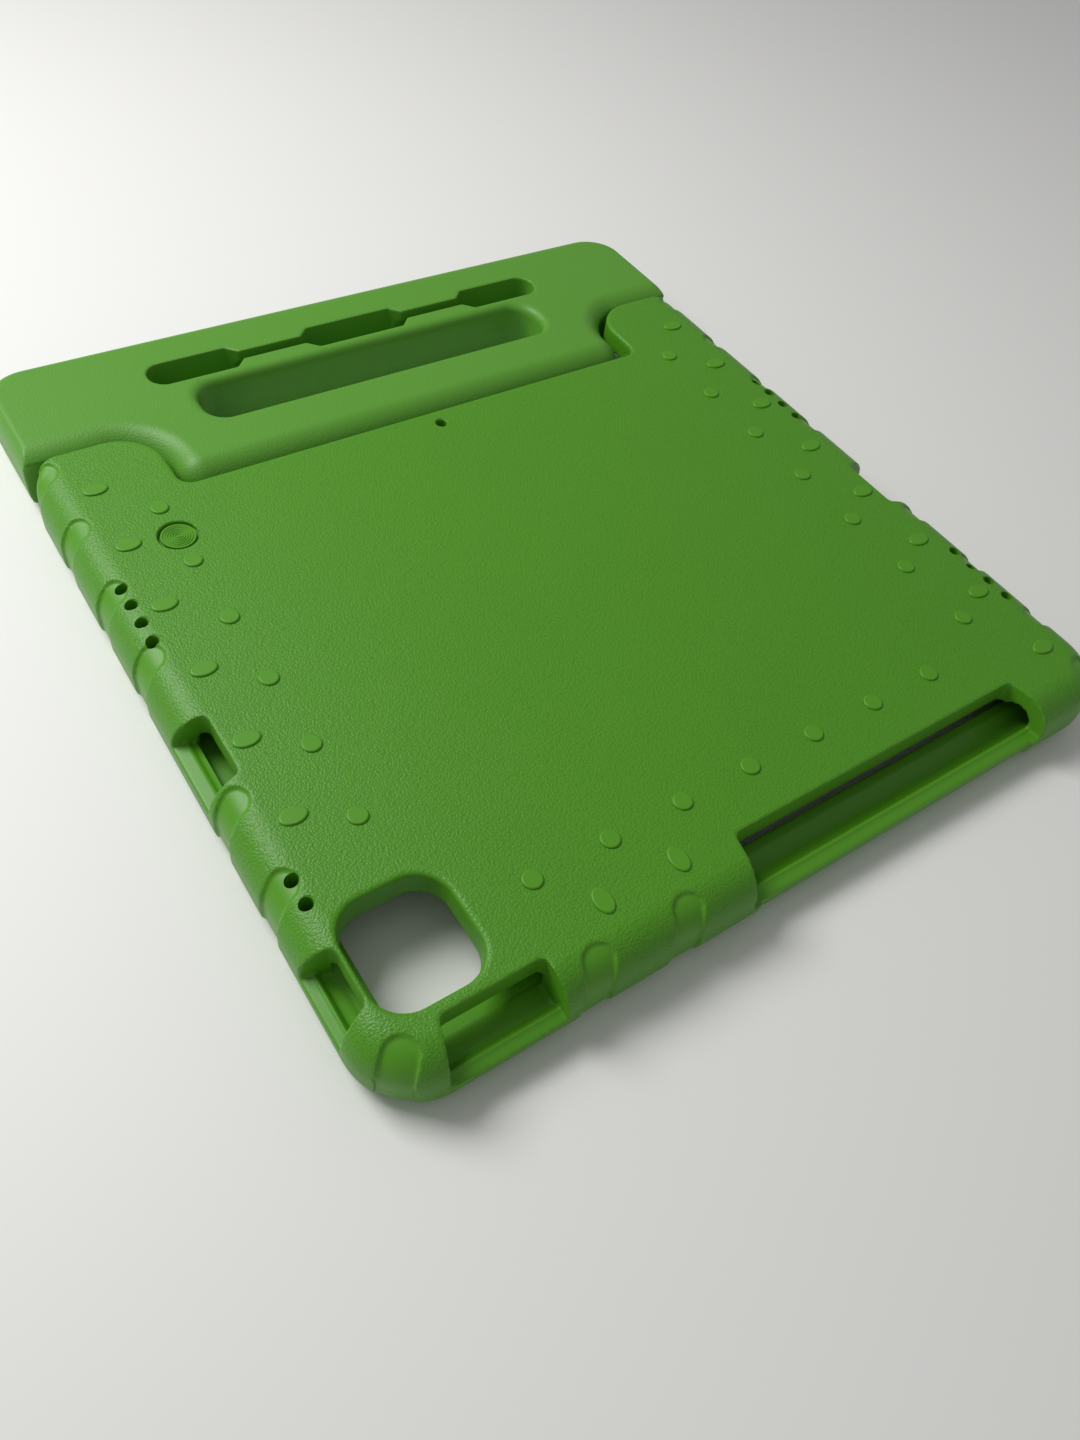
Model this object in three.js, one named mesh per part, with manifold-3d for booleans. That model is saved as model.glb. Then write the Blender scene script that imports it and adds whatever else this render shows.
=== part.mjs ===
// Kids tablet case: a moulded foam shell with a fold-out foam handle, lying on its screen side.
// Units are millimetres. +Z is up, +X runs along the long side and +Y runs towards the handle.
// The origin is on the floor, under the middle of the whole object.
import * as THREE from 'three';
import { mergeVertices } from 'three/addons/utils/BufferGeometryUtils.js';
import Module from 'manifold-3d';

const wasm = await Module();
wasm.setup();

// The tablet that the shell is moulded round
const tabletLength = 280.6;
const tabletWidth = 214.9;
const tabletThickness = 6.4;
const tabletCorner = 18;
const tabletClearance = 0.2;

// The shell
const thickness = 24;
const panelThickness = 9;
const sideWall = 9;
const penWall = 13.5;
const recessWall = 5.9;
const hornDepth = 34;
const hornWidth = 46.5;
const bezelOverlap = 6.3;
const screenCorner = 10;
const screenChamfer = 2.5;
const shellCorner = 22;
const hornOuterCorner = 12;
const hornInnerCorner = 17.5;
const recessCorner = 5.5;
const shellTopFillet = 12;
const shellBottomFillet = 8;
const crestFillet = 1;

// The handle
const handleGap = 0.5;
const handleReach = 57;
const handleInset = 0.9;
const handleFarCorner = 18;
const handleHeelCorner = 3;
const handleSideFillet = 4;
const handleFarFillet = 6;
const halfRoundFlat = 0.3;
const gripLength = 156.4;
const gripWidth = 23.3;
const gripCorner = 10;
const gripFlare = 3.6;
const gripNearFlare = 1;
const gripFromHeel = 5;
const pocketWidth = 13.8;
const neckWidth = 4.8;
const penBore = 9.6;
const penBoreDepth = 9;
const penLineFromGrip = 11.8;
const penSlotLength = 181.2;
const neckStart = 24;
const neckEnd = 51.5;
const neckSlope = 4.5;

// The two pivot pins
const pinRadius = 3;
const pinLength = 26;
const pinClearance = 0.3;

// Raised dots and ovals on the back panel
const dotRadius = 3.3;
const dotHeight = 0.7;
const dotRound = 0.45;
const dotShoulder = 0.72;
const ovalStretch = 1.38;
const ovalNarrowing = 0.92;
const sideDotInset = 34.5;
const sideDotPitch = 29.5;
const sideDotFromRecess = 8.6;
const sideOvalInset = 18.5;
const sideOvalPitch = 31.4;
const sideOvalPastRecess = 9.6;
const penDotInset = 35.8;
const penDotPitch = 27.5;
const penDotCount = 7;
const penOvalInset = 20.2;
const penOvalPairs = 2;

// Scallops: finger grips sunk in the rounded edges
const scallopWidth = 10.6;
const scallopDepth = 1;
const scallopReach = 16;
const scallopLean = 0.33;
const leftScallopOffsets = [140, 107.5, 74, 42, -20.5, -52];
const rightScallopOffsets = [...leftScallopOffsets, -84];
const penScallopsFromSide = [70, 101.7];

// Round holes
const soundHoleRadius = 2.2;
const soundHoleInset = 9.1;
const soundHolePitch = 8.9;
const soundHoleFloor = 11;
const handleSoundOffset = 61;
const rightPenSoundOffset = 58.4;
const leftPenSoundOffset = 56.3;
const microphoneRadius = 2.2;
const microphoneFromRecess = 7.8;

// The camera window through the back panel
const windowWidth = 34.1;
const windowHeight = 36.4;
const windowCorner = 11;
const windowFromSide = 28.3;
const windowFromPenFace = 36.6;
const windowDraft = 0.6;

// Cut-outs in the edges: places along the edge, and how far in each one reaches
const portHalfWidth = 12.2;
const portReach = 11.9;
const portShelf = 6;
const portShelfRise = 2.4;
const portFlares = [0.12, 0.2];
const powerCentre = 36;
const powerHalfWidth = 9.2;
const powerReach = 7.8;
const powerShelf = 4.5;
const powerFlares = [0.25, 0.35];
const volumeFromSide = 39.1;
const volumeHalfWidth = 15.3;
const volumeReach = 14.5;
const volumeShelf = 4.3;
const volumeFlares = [0.28, 0];
const penCutFromSide = 106.5;
const penCutHalfWidth = 63.5;
const penCutReach = 19;
const penShelf = 6.2;
const penFlares = [0.2, 0.2];
const penChannelRadius = 5.6;
const penChannelHeight = 12.1;
const penLeftBore = 28;
const penRightBore = 14;
const shelfOuterZ = 10.4;
const shelfInnerZ = 11.5;
const shelfStepLean = 1.2;
const grooveZ = 9;
const cutOutMouthCorner = 0.5;
const cutOutInnerCorner = 1.5;

// The sunk disc with turned rings
const discFromSide = 34.9;
const discFromRecess = 24.1;
const discRadius = 7;
const discDepth = 0.9;
const discMoat = 0.8;
const discRingHeight = 0.3;
const discRingCount = 2;

// Smoothness of curves
const cornerSteps = 6;
const filletSteps = 5;
const dotSegments = 12;
const holeSegments = 12;
const channelSegments = 14;
const discSegments = 14;
const pinSegments = 16;
const sweepSegments = 24;
const sharpestCorner = 0.3;
const throughCut = 1;

// Sizes worked out from the ones above
const cavityLength = tabletLength + 2 * tabletClearance;
const cavityWidth = tabletWidth + 2 * tabletClearance;
const cavityThickness = tabletThickness + 2 * tabletClearance;
const cavityTop = thickness - panelThickness;
const cavityFloor = cavityTop - cavityThickness;
const halfLength = cavityLength / 2 + sideWall;
const cavityPenY = penWall;
const cavityHandleY = cavityPenY + cavityWidth;
const tabletCentreY = (cavityPenY + cavityHandleY) / 2;
const recessY = cavityHandleY + recessWall;
const hornTopY = recessY + hornDepth;
const recessHalf = halfLength - hornWidth;
const hornInnerRound = Math.min(hornInnerCorner, hornWidth - shellTopFillet - hornOuterCorner);
const windowTopY = windowFromPenFace + windowHeight / 2;
const discX = discFromSide - halfLength;
const volumeCentreX = volumeFromSide - halfLength;
const penCutCentreX = halfLength - penCutFromSide;
const middleZ = thickness / 2;
const halfRound = (thickness - halfRoundFlat) / 2;
const tongueTipY = recessY + handleGap;
const tongueHalf = recessHalf - handleGap;
const pivotY = tongueTipY + middleZ;
const heelY = hornTopY + handleGap;
const farY = heelY + handleReach;
const handleHalf = halfLength - handleInset;
const gripNearY = heelY - gripFromHeel;
const gripFarY = gripNearY + gripWidth;
const penLineY = gripFarY + penLineFromGrip;
const penChannelFromFace = penShelf + penChannelRadius;

const foamGreen = new THREE.MeshStandardMaterial({ color: 0x5d9c2f, roughness: 0.62, metalness: 0 });
const handleGreen = new THREE.MeshStandardMaterial({ color: 0x5f9a38, roughness: 0.55, metalness: 0 });
const pinGrey = new THREE.MeshStandardMaterial({ color: 0x3a3d40, roughness: 0.45, metalness: 0 });

// Turns a closed geometry into a solid that can be cut and joined.
function solid(geometry) {
  const bare = geometry.clone();
  bare.deleteAttribute('normal');
  bare.deleteAttribute('uv');
  const merged = mergeVertices(bare, 1e-4);
  const vertProperties = new Float32Array(merged.attributes.position.array);
  const triVerts = new Uint32Array(merged.index.array);
  return new wasm.Manifold(new wasm.Mesh({ numProp: 3, vertProperties, triVerts }));
}

// Turns a solid back into a geometry.
function geometryOf(body) {
  const mesh = body.getMesh();
  const geometry = new THREE.BufferGeometry();
  geometry.setAttribute('position', new THREE.BufferAttribute(mesh.vertProperties, 3));
  geometry.setIndex(new THREE.BufferAttribute(mesh.triVerts, 1));
  geometry.computeVertexNormals();
  return geometry;
}

// One corner of an outline, and the fillets of the edge that leaves it.
function corner(x, y, radius, topFillet = 0, bottomFillet = topFillet) {
  return { point: new THREE.Vector2(x, y), radius, topFillet, bottomFillet };
}

// Rounds the corners of an outline whose edges are moved inwards, edge by edge.
// Each point carries the height that its edge has, blended round the corner.
function roundedRing(corners, insets, heights) {
  const count = corners.length;
  const ring = [];
  for (let i = 0; i < count; i += 1) {
    const before = (i + count - 1) % count;
    const after = (i + 1) % count;
    const here = corners[i].point;
    const inDirection = here.clone().sub(corners[before].point).normalize();
    const outDirection = corners[after].point.clone().sub(here).normalize();
    const cross = inDirection.cross(outDirection);
    const turn = Math.atan2(cross, inDirection.dot(outDirection));
    const inNormal = new THREE.Vector2(-inDirection.y, inDirection.x);
    const outNormal = new THREE.Vector2(-outDirection.y, outDirection.x);
    const inShift = (insets[i] - insets[before] * inNormal.dot(outNormal)) / inDirection.dot(outNormal);
    const apex = here.clone().addScaledVector(inNormal, insets[before]).addScaledVector(inDirection, inShift);
    const meanInset = (insets[before] + insets[i]) / 2;
    const radius = Math.max(corners[i].radius - Math.sign(turn) * meanInset, sharpestCorner);
    const start = apex.clone().addScaledVector(inDirection, -radius * Math.tan(Math.abs(turn) / 2));
    const centre = start.clone().addScaledVector(inNormal, Math.sign(turn) * radius);
    for (let step = 0; step <= cornerSteps; step += 1) {
      const share = step / cornerSteps;
      const place = start.clone().rotateAround(centre, turn * share);
      const height = heights[before] + (heights[i] - heights[before]) * share;
      ring.push(new THREE.Vector3(place.x, place.y, height));
    }
  }
  return ring;
}

// Skins a stack of rings, from the lowest to the highest, and closes both ends.
function loft(rings) {
  const count = rings[0].length;
  const positions = rings.flatMap((ring) => ring.flatMap((point) => point.toArray()));
  const index = [];
  for (let level = 0; level < rings.length - 1; level += 1) {
    for (let i = 0; i < count; i += 1) {
      const next = (i + 1) % count;
      const low = level * count;
      const high = low + count;
      index.push(low + i, low + next, high + next);
      index.push(low + i, high + next, high + i);
    }
  }
  const flat = (ring) => ring.map((point) => new THREE.Vector2(point.x, point.y));
  const top = (rings.length - 1) * count;
  THREE.ShapeUtils.triangulateShape(flat(rings[0]), []).forEach(([a, b, c]) => index.push(a, c, b));
  THREE.ShapeUtils.triangulateShape(flat(rings.at(-1)), []).forEach(([a, b, c]) => {
    index.push(top + a, top + b, top + c);
  });
  const geometry = new THREE.BufferGeometry();
  geometry.setAttribute('position', new THREE.Float32BufferAttribute(positions, 3));
  geometry.setIndex(index);
  return solid(geometry);
}

// A slab whose edges each have their own top and bottom fillet.
// A sunk slab is the same shape, moved in by that depth at its sides and top.
function slab(corners, floor, ceiling, sunk = 0) {
  const rings = [];
  for (let step = 0; step <= filletSteps; step += 1) {
    const angle = (Math.PI / 2) * (step / filletSteps);
    const fillets = corners.map((each) => Math.max(each.bottomFillet - sunk, crestFillet / 2));
    const insets = fillets.map((fillet) => sunk + fillet * (1 - Math.sin(angle)));
    const heights = fillets.map((fillet) => floor + fillet * (1 - Math.cos(angle)));
    rings.push(roundedRing(corners, insets, heights));
  }
  for (let step = 0; step <= filletSteps; step += 1) {
    const angle = (Math.PI / 2) * (step / filletSteps);
    const fillets = corners.map((each) => Math.max(each.topFillet - sunk, crestFillet / 2));
    const insets = fillets.map((fillet) => sunk + fillet * (1 - Math.cos(angle)));
    const heights = fillets.map((fillet) => ceiling - sunk - fillet * (1 - Math.sin(angle)));
    rings.push(roundedRing(corners, insets, heights));
  }
  return loft(rings);
}

// A straight or tapered cutter between two heights.
function prism(corners, floor, ceiling, floorInset = 0, ceilingInset = 0) {
  const level = (inset, height) => roundedRing(corners, corners.map(() => inset), corners.map(() => height));
  return loft([level(floorInset, floor), level(ceilingInset, ceiling)]);
}

// A cutter whose mouths open out in a curve at both faces of a plate.
function flaredCutter(corners, floor, ceiling) {
  const level = (share, height) => {
    const insets = corners.map((each) => -each.topFillet * share);
    const heights = corners.map((each) => height(each.topFillet));
    return roundedRing(corners, insets, heights);
  };
  const rings = [level(1, () => floor - throughCut)];
  for (let step = 0; step <= filletSteps; step += 1) {
    const angle = (Math.PI / 2) * (step / filletSteps);
    rings.push(level(1 - Math.sin(angle), (flare) => floor + flare * (1 - Math.cos(angle))));
  }
  for (let step = 0; step <= filletSteps; step += 1) {
    const angle = (Math.PI / 2) * (step / filletSteps);
    rings.push(level(1 - Math.cos(angle), (flare) => ceiling - flare * (1 - Math.sin(angle))));
  }
  rings.push(level(1, () => ceiling + throughCut));
  return loft(rings);
}

// The corners of a rectangle, all rounded alike.
function rectangle(centreX, centreY, width, height, radius) {
  const [halfX, halfY] = [width / 2, height / 2];
  return [
    corner(centreX - halfX, centreY - halfY, radius),
    corner(centreX + halfX, centreY - halfY, radius),
    corner(centreX + halfX, centreY + halfY, radius),
    corner(centreX - halfX, centreY + halfY, radius),
  ];
}

// A solid cylinder along X or Z.
function rod(radius, length, segments, alongX = false) {
  const geometry = new THREE.CylinderGeometry(radius, radius, length, segments);
  if (alongX) geometry.rotateZ(Math.PI / 2);
  else geometry.rotateX(Math.PI / 2);
  return solid(geometry);
}

// A raised dot with a rounded rim, standing on the back panel.
function raisedDot(x, y, stretchX = 1, stretchY = 1) {
  const profile = [
    new THREE.Vector2(0, -throughCut),
    new THREE.Vector2(dotRadius, -throughCut),
    new THREE.Vector2(dotRadius, dotHeight - dotRound),
    new THREE.Vector2(dotRadius - dotShoulder, dotHeight),
    new THREE.Vector2(0, dotHeight),
  ];
  const geometry = new THREE.LatheGeometry(profile, dotSegments);
  geometry.rotateX(Math.PI / 2);
  geometry.scale(stretchX, stretchY, 1);
  geometry.translate(x, y, thickness);
  return solid(geometry);
}

// All the dots and ovals, in rows beside the two short sides and along the pen side.
function raisedPattern() {
  const along = ovalStretch;
  const across = ovalNarrowing;
  const pieces = [];
  // A row runs from its first place down to the last one that is above its end.
  const sideRow = (side, end, inset, first, pitch, stretchX, stretchY) => {
    for (let y = first; y >= end; y -= pitch) {
      pieces.push(raisedDot(side * (halfLength - inset), y, stretchX, stretchY));
    }
  };
  const firstDot = recessY - sideDotFromRecess;
  const firstOval = recessY + sideOvalPastRecess;
  const aboveWindow = windowTopY + dotRadius;
  sideRow(-1, aboveWindow, sideDotInset, firstDot, sideDotPitch, 1, 1);
  sideRow(1, penDotInset, sideDotInset, firstDot, sideDotPitch, 1, 1);
  sideRow(-1, aboveWindow, sideOvalInset, firstOval, sideOvalPitch, along, across);
  sideRow(1, shellCorner, sideOvalInset, firstOval, sideOvalPitch, along, across);
  const firstX = -((penDotCount - 1) / 2) * penDotPitch;
  for (let i = 0; i < penDotCount; i += 1) pieces.push(raisedDot(firstX + i * penDotPitch, penDotInset));
  for (let i = 0; i < penOvalPairs; i += 1) {
    const x = firstX + (i + 0.5) * penDotPitch;
    pieces.push(raisedDot(x, penOvalInset, across, along));
  }
  return wasm.Manifold.union(pieces);
}

// The plan outline of the shell, with its two horns and the recess for the tongue.
const shellCorners = [
  corner(-halfLength, 0, shellCorner, shellTopFillet, shellBottomFillet),
  corner(halfLength, 0, shellCorner, shellTopFillet, shellBottomFillet),
  corner(halfLength, hornTopY, hornOuterCorner, crestFillet),
  corner(recessHalf, hornTopY, hornInnerRound, crestFillet),
  corner(recessHalf, recessY, recessCorner, crestFillet),
  corner(-recessHalf, recessY, recessCorner, crestFillet),
  corner(-recessHalf, hornTopY, hornInnerRound, crestFillet),
  corner(-halfLength, hornTopY, hornOuterCorner, shellTopFillet, shellBottomFillet),
];

// The plan of one scallop: a band with a round inner end that runs out through the edge.
// It is drawn with its inner end at the origin and its mouth towards -Y.
function scallopPlan(lean) {
  const half = scallopWidth / 2;
  const shape = new THREE.Shape();
  shape.moveTo(-half + lean * scallopReach, -scallopReach);
  shape.lineTo(half + lean * scallopReach, -scallopReach);
  shape.lineTo(half, -half);
  shape.absarc(0, -half, half, 0, Math.PI, false);
  shape.closePath();
  const cutter = new THREE.ExtrudeGeometry(shape, {
    depth: thickness + 2 * throughCut,
    bevelEnabled: false,
    curveSegments: 6,
  });
  cutter.translate(0, 0, -throughCut);
  return cutter;
}

// A scallop placed with its inner end at (x, y) and its mouth turned from -Y by the given angle.
function scallop(x, y, turn, lean) {
  const cutter = scallopPlan(lean);
  cutter.rotateZ(turn);
  cutter.translate(x, y, 0);
  return solid(cutter);
}

// All the scallops, as one cutter that leaves the sunk shell untouched.
function scallopCutter() {
  const inner = shellTopFillet - throughCut;
  const innerX = halfLength - inner;
  const quarter = Math.PI / 2;
  const penSetBack = solid(new THREE.BoxGeometry(2 * penCutHalfWidth, 2 * penShelf, 3 * thickness));
  const sides = [
    ...leftScallopOffsets.map((offset) => scallop(-innerX, tabletCentreY + offset, -quarter, scallopLean)),
    ...rightScallopOffsets.map((offset) => scallop(innerX, tabletCentreY + offset, quarter, -scallopLean)),
    ...penScallopsFromSide.map((place) => scallop(place - halfLength, inner, 0, -scallopLean)),
    penSetBack.translate([penCutCentreX, 0, 0]),
  ];
  const reach = (shellCorner - inner) * Math.SQRT1_2;
  const cornerX = halfLength - shellCorner + reach;
  const cornerY = shellCorner - reach;
  sides.push(scallop(-cornerX, cornerY, -Math.PI / 4, 0));
  sides.push(scallop(cornerX, cornerY, Math.PI / 4, 0));
  return wasm.Manifold.union(sides).subtract(slab(shellCorners, 0, thickness, scallopDepth));
}

// A cut-out in an edge: a section across the edge, swept along it, narrowing inwards.
// The section is a list of [distance in from the outer face, height], and the flares say
// how fast the cut-out widens towards -X and towards +X on its way out.
function edgeCutOut(section, halfWidth, reach, flares) {
  const profile = new THREE.Shape(section.map(([inwards, height]) => new THREE.Vector2(inwards, height)));
  const sweep = new THREE.ExtrudeGeometry(profile, { depth: 4 * halfWidth, bevelEnabled: false });
  sweep.rotateX(Math.PI / 2);
  sweep.rotateZ(Math.PI / 2);
  sweep.translate(-2 * halfWidth, 0, 0);
  const [startSpread, endSpread] = flares.map((flare) => halfWidth + flare * (reach + throughCut));
  const plan = [
    corner(-startSpread, -throughCut, cutOutMouthCorner),
    corner(endSpread, -throughCut, cutOutMouthCorner),
    corner(halfWidth, reach + throughCut, cutOutInnerCorner),
    corner(-halfWidth, reach + throughCut, cutOutInnerCorner),
  ];
  return solid(sweep).intersect(prism(plan, 0, thickness + 2 * throughCut));
}

// The section of a cut-out with a sloping outer shelf and a groove that opens into the tablet's place.
function shelfSection(shelf, reach, floor, rise = 0, cavityReach = reach) {
  const above = thickness + throughCut;
  const underPanel = cavityTop - throughCut;
  const section = [
    [-throughCut, shelfOuterZ + rise],
    [shelf, shelfInnerZ + rise],
    [shelf + shelfStepLean, floor],
    [cavityReach, floor],
  ];
  if (cavityReach > reach) section.push([cavityReach, underPanel], [reach, underPanel]);
  section.push([reach, above], [-throughCut, above]);
  return section;
}

// The section of the long pen cut-out: the outer shelf, then a round channel.
function penSection() {
  const above = thickness + throughCut;
  const section = [[-throughCut, shelfOuterZ], [penShelf, shelfInnerZ]];
  for (let step = 0; step <= cornerSteps; step += 1) {
    const angle = Math.PI * (1 + step / cornerSteps);
    const inwards = penChannelFromFace + penChannelRadius * Math.cos(angle);
    section.push([inwards, penChannelHeight + penChannelRadius * Math.sin(angle)]);
  }
  section.push([penCutReach, penChannelHeight], [penCutReach, above], [-throughCut, above]);
  return section;
}

// Every cut-out in the edges of the shell.
function edgeCutOuts() {
  const portSection = shelfSection(portShelf, portReach, cavityFloor, portShelfRise);
  const powerSection = shelfSection(powerShelf, powerReach, grooveZ, 0, sideWall + throughCut);
  const volumeSection = shelfSection(volumeShelf, volumeReach, grooveZ);
  const leftPort = edgeCutOut(portSection, portHalfWidth, portReach, portFlares);
  const rightPort = edgeCutOut(portSection, portHalfWidth, portReach, [...portFlares].reverse());
  const power = edgeCutOut(powerSection, powerHalfWidth, powerReach + throughCut, powerFlares);
  const volume = edgeCutOut(volumeSection, volumeHalfWidth, volumeReach, volumeFlares);
  const pen = edgeCutOut(penSection(), penCutHalfWidth, penCutReach, penFlares);
  const boreLength = 2 * penCutHalfWidth + penLeftBore + penRightBore;
  const boreCentre = penCutCentreX + (penRightBore - penLeftBore) / 2;
  const penBores = rod(penChannelRadius, boreLength, channelSegments, true);
  return [
    leftPort.rotate([0, 0, -90]).translate([-halfLength, tabletCentreY, 0]),
    rightPort.rotate([0, 0, 90]).translate([halfLength, tabletCentreY, 0]),
    power.rotate([0, 0, -90]).translate([-halfLength, powerCentre, 0]),
    volume.translate([volumeCentreX, 0, 0]),
    pen.translate([penCutCentreX, 0, 0]),
    penBores.translate([boreCentre, penChannelFromFace, penChannelHeight]),
  ];
}

// The round holes for sound, in rows on both short sides, and the microphone hole.
function soundHoles() {
  const depth = thickness + throughCut - soundHoleFloor;
  const hole = rod(soundHoleRadius, depth, holeSegments);
  const holes = [];
  const row = (side, centreY, count) => {
    for (let i = 0; i < count; i += 1) {
      const y = centreY + (i - (count - 1) / 2) * soundHolePitch;
      holes.push(hole.translate([side * (halfLength - soundHoleInset), y, soundHoleFloor + depth / 2]));
    }
  };
  row(-1, tabletCentreY + handleSoundOffset, 4);
  row(1, tabletCentreY + handleSoundOffset, 4);
  row(1, tabletCentreY - rightPenSoundOffset, 4);
  row(-1, tabletCentreY - leftPenSoundOffset, 2);
  const panelHole = rod(microphoneRadius, panelThickness + 2 * throughCut, holeSegments);
  holes.push(panelHole.translate([0, recessY - microphoneFromRecess, thickness - panelThickness / 2]));
  return holes;
}

// The sunk disc: a moat round a low disc with turned rings.
function discCutter() {
  const profile = [new THREE.Vector2(0, -discDepth)];
  for (let ring = 0; ring < discRingCount; ring += 1) {
    const radius = (discRadius - discMoat) * ((ring + 1) / (discRingCount + 1));
    profile.push(new THREE.Vector2(radius - discMoat / 2, -discDepth));
    profile.push(new THREE.Vector2(radius, -discDepth + discRingHeight));
    profile.push(new THREE.Vector2(radius + discMoat / 2, -discDepth));
  }
  profile.push(new THREE.Vector2(discRadius - discMoat, -discDepth));
  profile.push(new THREE.Vector2(discRadius - discMoat, -discDepth - discMoat));
  profile.push(new THREE.Vector2(discRadius, -discDepth - discMoat));
  profile.push(new THREE.Vector2(discRadius, throughCut));
  profile.push(new THREE.Vector2(0, throughCut));
  const geometry = new THREE.LatheGeometry(profile, discSegments);
  geometry.rotateX(Math.PI / 2);
  geometry.translate(discX, recessY - discFromRecess, thickness);
  return solid(geometry);
}

// The bore for one pivot pin, which reaches into the horn and the tongue alike.
function pinBores() {
  const bore = rod(pinRadius + pinClearance, pinLength + 2 * pinClearance, pinSegments, true);
  return [-1, 1].map((side) => bore.translate([side * (recessHalf - handleGap / 2), pivotY, middleZ]));
}

function buildShell() {
  const cavity = rectangle(0, tabletCentreY, cavityLength, cavityWidth, tabletCorner);
  const [screenLength, screenWidth] = [tabletLength - 2 * bezelOverlap, tabletWidth - 2 * bezelOverlap];
  const screen = rectangle(0, tabletCentreY, screenLength, screenWidth, screenCorner);
  const windowX = -halfLength + windowFromSide;
  const lens = rectangle(windowX, windowFromPenFace, windowWidth, windowHeight, windowCorner);
  const cutters = [
    prism(cavity, cavityFloor, cavityTop),
    prism(screen, -throughCut, cavityFloor + throughCut),
    prism(screen, -throughCut, screenChamfer, -screenChamfer - throughCut, 0),
    prism(lens, cavityTop - throughCut, thickness + throughCut, windowDraft, 0),
    scallopCutter(),
    discCutter(),
    ...edgeCutOuts(),
    ...soundHoles(),
    ...pinBores(),
  ];
  return slab(shellCorners, 0, thickness).add(raisedPattern()).subtract(wasm.Manifold.union(cutters));
}

// The plan outline of the handle: the tongue between the horns, then the wide grip beyond them.
function handleCorners() {
  const hornGapCorner = hornInnerRound + handleGap;
  return [
    corner(-tongueHalf, tongueTipY, recessCorner - handleGap, halfRound),
    corner(tongueHalf, tongueTipY, recessCorner - handleGap, halfRound),
    corner(tongueHalf, heelY, hornGapCorner, halfRound),
    corner(handleHalf, heelY, handleHeelCorner, handleSideFillet),
    corner(handleHalf, farY, handleFarCorner, handleFarFillet),
    corner(-handleHalf, farY, handleFarCorner, handleSideFillet),
    corner(-handleHalf, heelY, handleHeelCorner, halfRound),
    corner(-tongueHalf, heelY, hornGapCorner, halfRound),
  ];
}

// The grip opening, crisp on its near side and softly flared on the others.
function gripCutter() {
  const [halfX, near, far] = [gripLength / 2, gripNearY, gripFarY];
  const corners = [
    corner(-halfX, near, gripCorner, gripNearFlare),
    corner(halfX, near, gripCorner, gripFlare),
    corner(halfX, far, gripCorner, gripFlare),
    corner(-halfX, far, gripCorner, gripFlare),
  ];
  return flaredCutter(corners, 0, thickness);
}

// The pen slot: three wide pockets joined by two narrow necks, over one round channel.
function penSlotCutter() {
  const pocket = pocketWidth / 2;
  const neck = neckWidth / 2;
  const end = penSlotLength / 2 - pocket;
  const stations = [
    [-neckEnd - neckSlope, pocket],
    [-neckEnd, neck],
    [-neckStart, neck],
    [-neckStart + neckSlope, pocket],
    [neckStart - neckSlope, pocket],
    [neckStart, neck],
    [neckEnd, neck],
    [neckEnd + neckSlope, pocket],
  ];
  const shape = new THREE.Shape();
  shape.absarc(-end, 0, pocket, Math.PI / 2, (3 * Math.PI) / 2, false);
  stations.forEach(([x, half]) => shape.lineTo(x, -half));
  shape.absarc(end, 0, pocket, -Math.PI / 2, Math.PI / 2, false);
  stations.reverse().forEach(([x, half]) => shape.lineTo(x, half));
  shape.closePath();
  const depth = penBoreDepth + penBore / 2;
  const slot = new THREE.ExtrudeGeometry(shape, {
    depth: depth + throughCut,
    bevelEnabled: false,
    curveSegments: cornerSteps,
  });
  slot.translate(0, penLineY, thickness - depth);
  const channel = rod(penBore / 2, penSlotLength - penBore, channelSegments, true);
  return solid(slot).add(channel.translate([0, penLineY, thickness - penBoreDepth]));
}

// The room that a horn needs in the handle as the handle folds: the horn's outline, turned
// round the pivot axis, so that the heel of the handle passes over the horn's top edge.
function hornSweep(side) {
  const start = recessHalf - handleGap;
  const end = halfLength + throughCut;
  const cornerReach = hornTopY - hornInnerRound - pivotY;
  const profile = [new THREE.Vector2(0, start)];
  for (let step = 0; step <= cornerSteps; step += 1) {
    const angle = (Math.PI / 2) * (step / cornerSteps);
    const reach = cornerReach + hornInnerRound * Math.sin(angle);
    const place = start + hornInnerRound * (1 - Math.cos(angle));
    profile.push(new THREE.Vector2(Math.hypot(reach, middleZ) + handleGap, place));
  }
  profile.push(new THREE.Vector2(profile.at(-1).x, end), new THREE.Vector2(0, end));
  const geometry = new THREE.LatheGeometry(profile, sweepSegments);
  geometry.rotateZ((-side * Math.PI) / 2);
  geometry.translate(0, pivotY, middleZ);
  return solid(geometry);
}

function buildHandle() {
  const cutters = [gripCutter(), penSlotCutter(), hornSweep(-1), hornSweep(1), ...pinBores()];
  return slab(handleCorners(), 0, thickness).subtract(wasm.Manifold.union(cutters));
}

function buildPin(side) {
  const pin = rod(pinRadius, pinLength, pinSegments, true);
  return pin.translate([side * (recessHalf - handleGap / 2), pivotY, middleZ]);
}

// Names a solid, gives it its material and stands it over the origin.
function piece(name, body, material) {
  const mesh = new THREE.Mesh(geometryOf(body), material);
  mesh.name = name;
  mesh.position.y = -farY / 2;
  return mesh;
}

const tabletCase = new THREE.Group();
tabletCase.add(piece('case_body', buildShell(), foamGreen));
tabletCase.add(piece('handle', buildHandle(), handleGreen));
tabletCase.add(piece('left_pivot_pin', buildPin(-1), pinGrey));
tabletCase.add(piece('right_pivot_pin', buildPin(1), pinGrey));

export default tabletCase;
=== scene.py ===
"""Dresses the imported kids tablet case: a grained foam shell and a smoother foam handle.

Pieces are modelled in millimetres, with y counted from the pen side's outer face and z from the
floor. Form.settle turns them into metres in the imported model's frame.
"""

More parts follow.
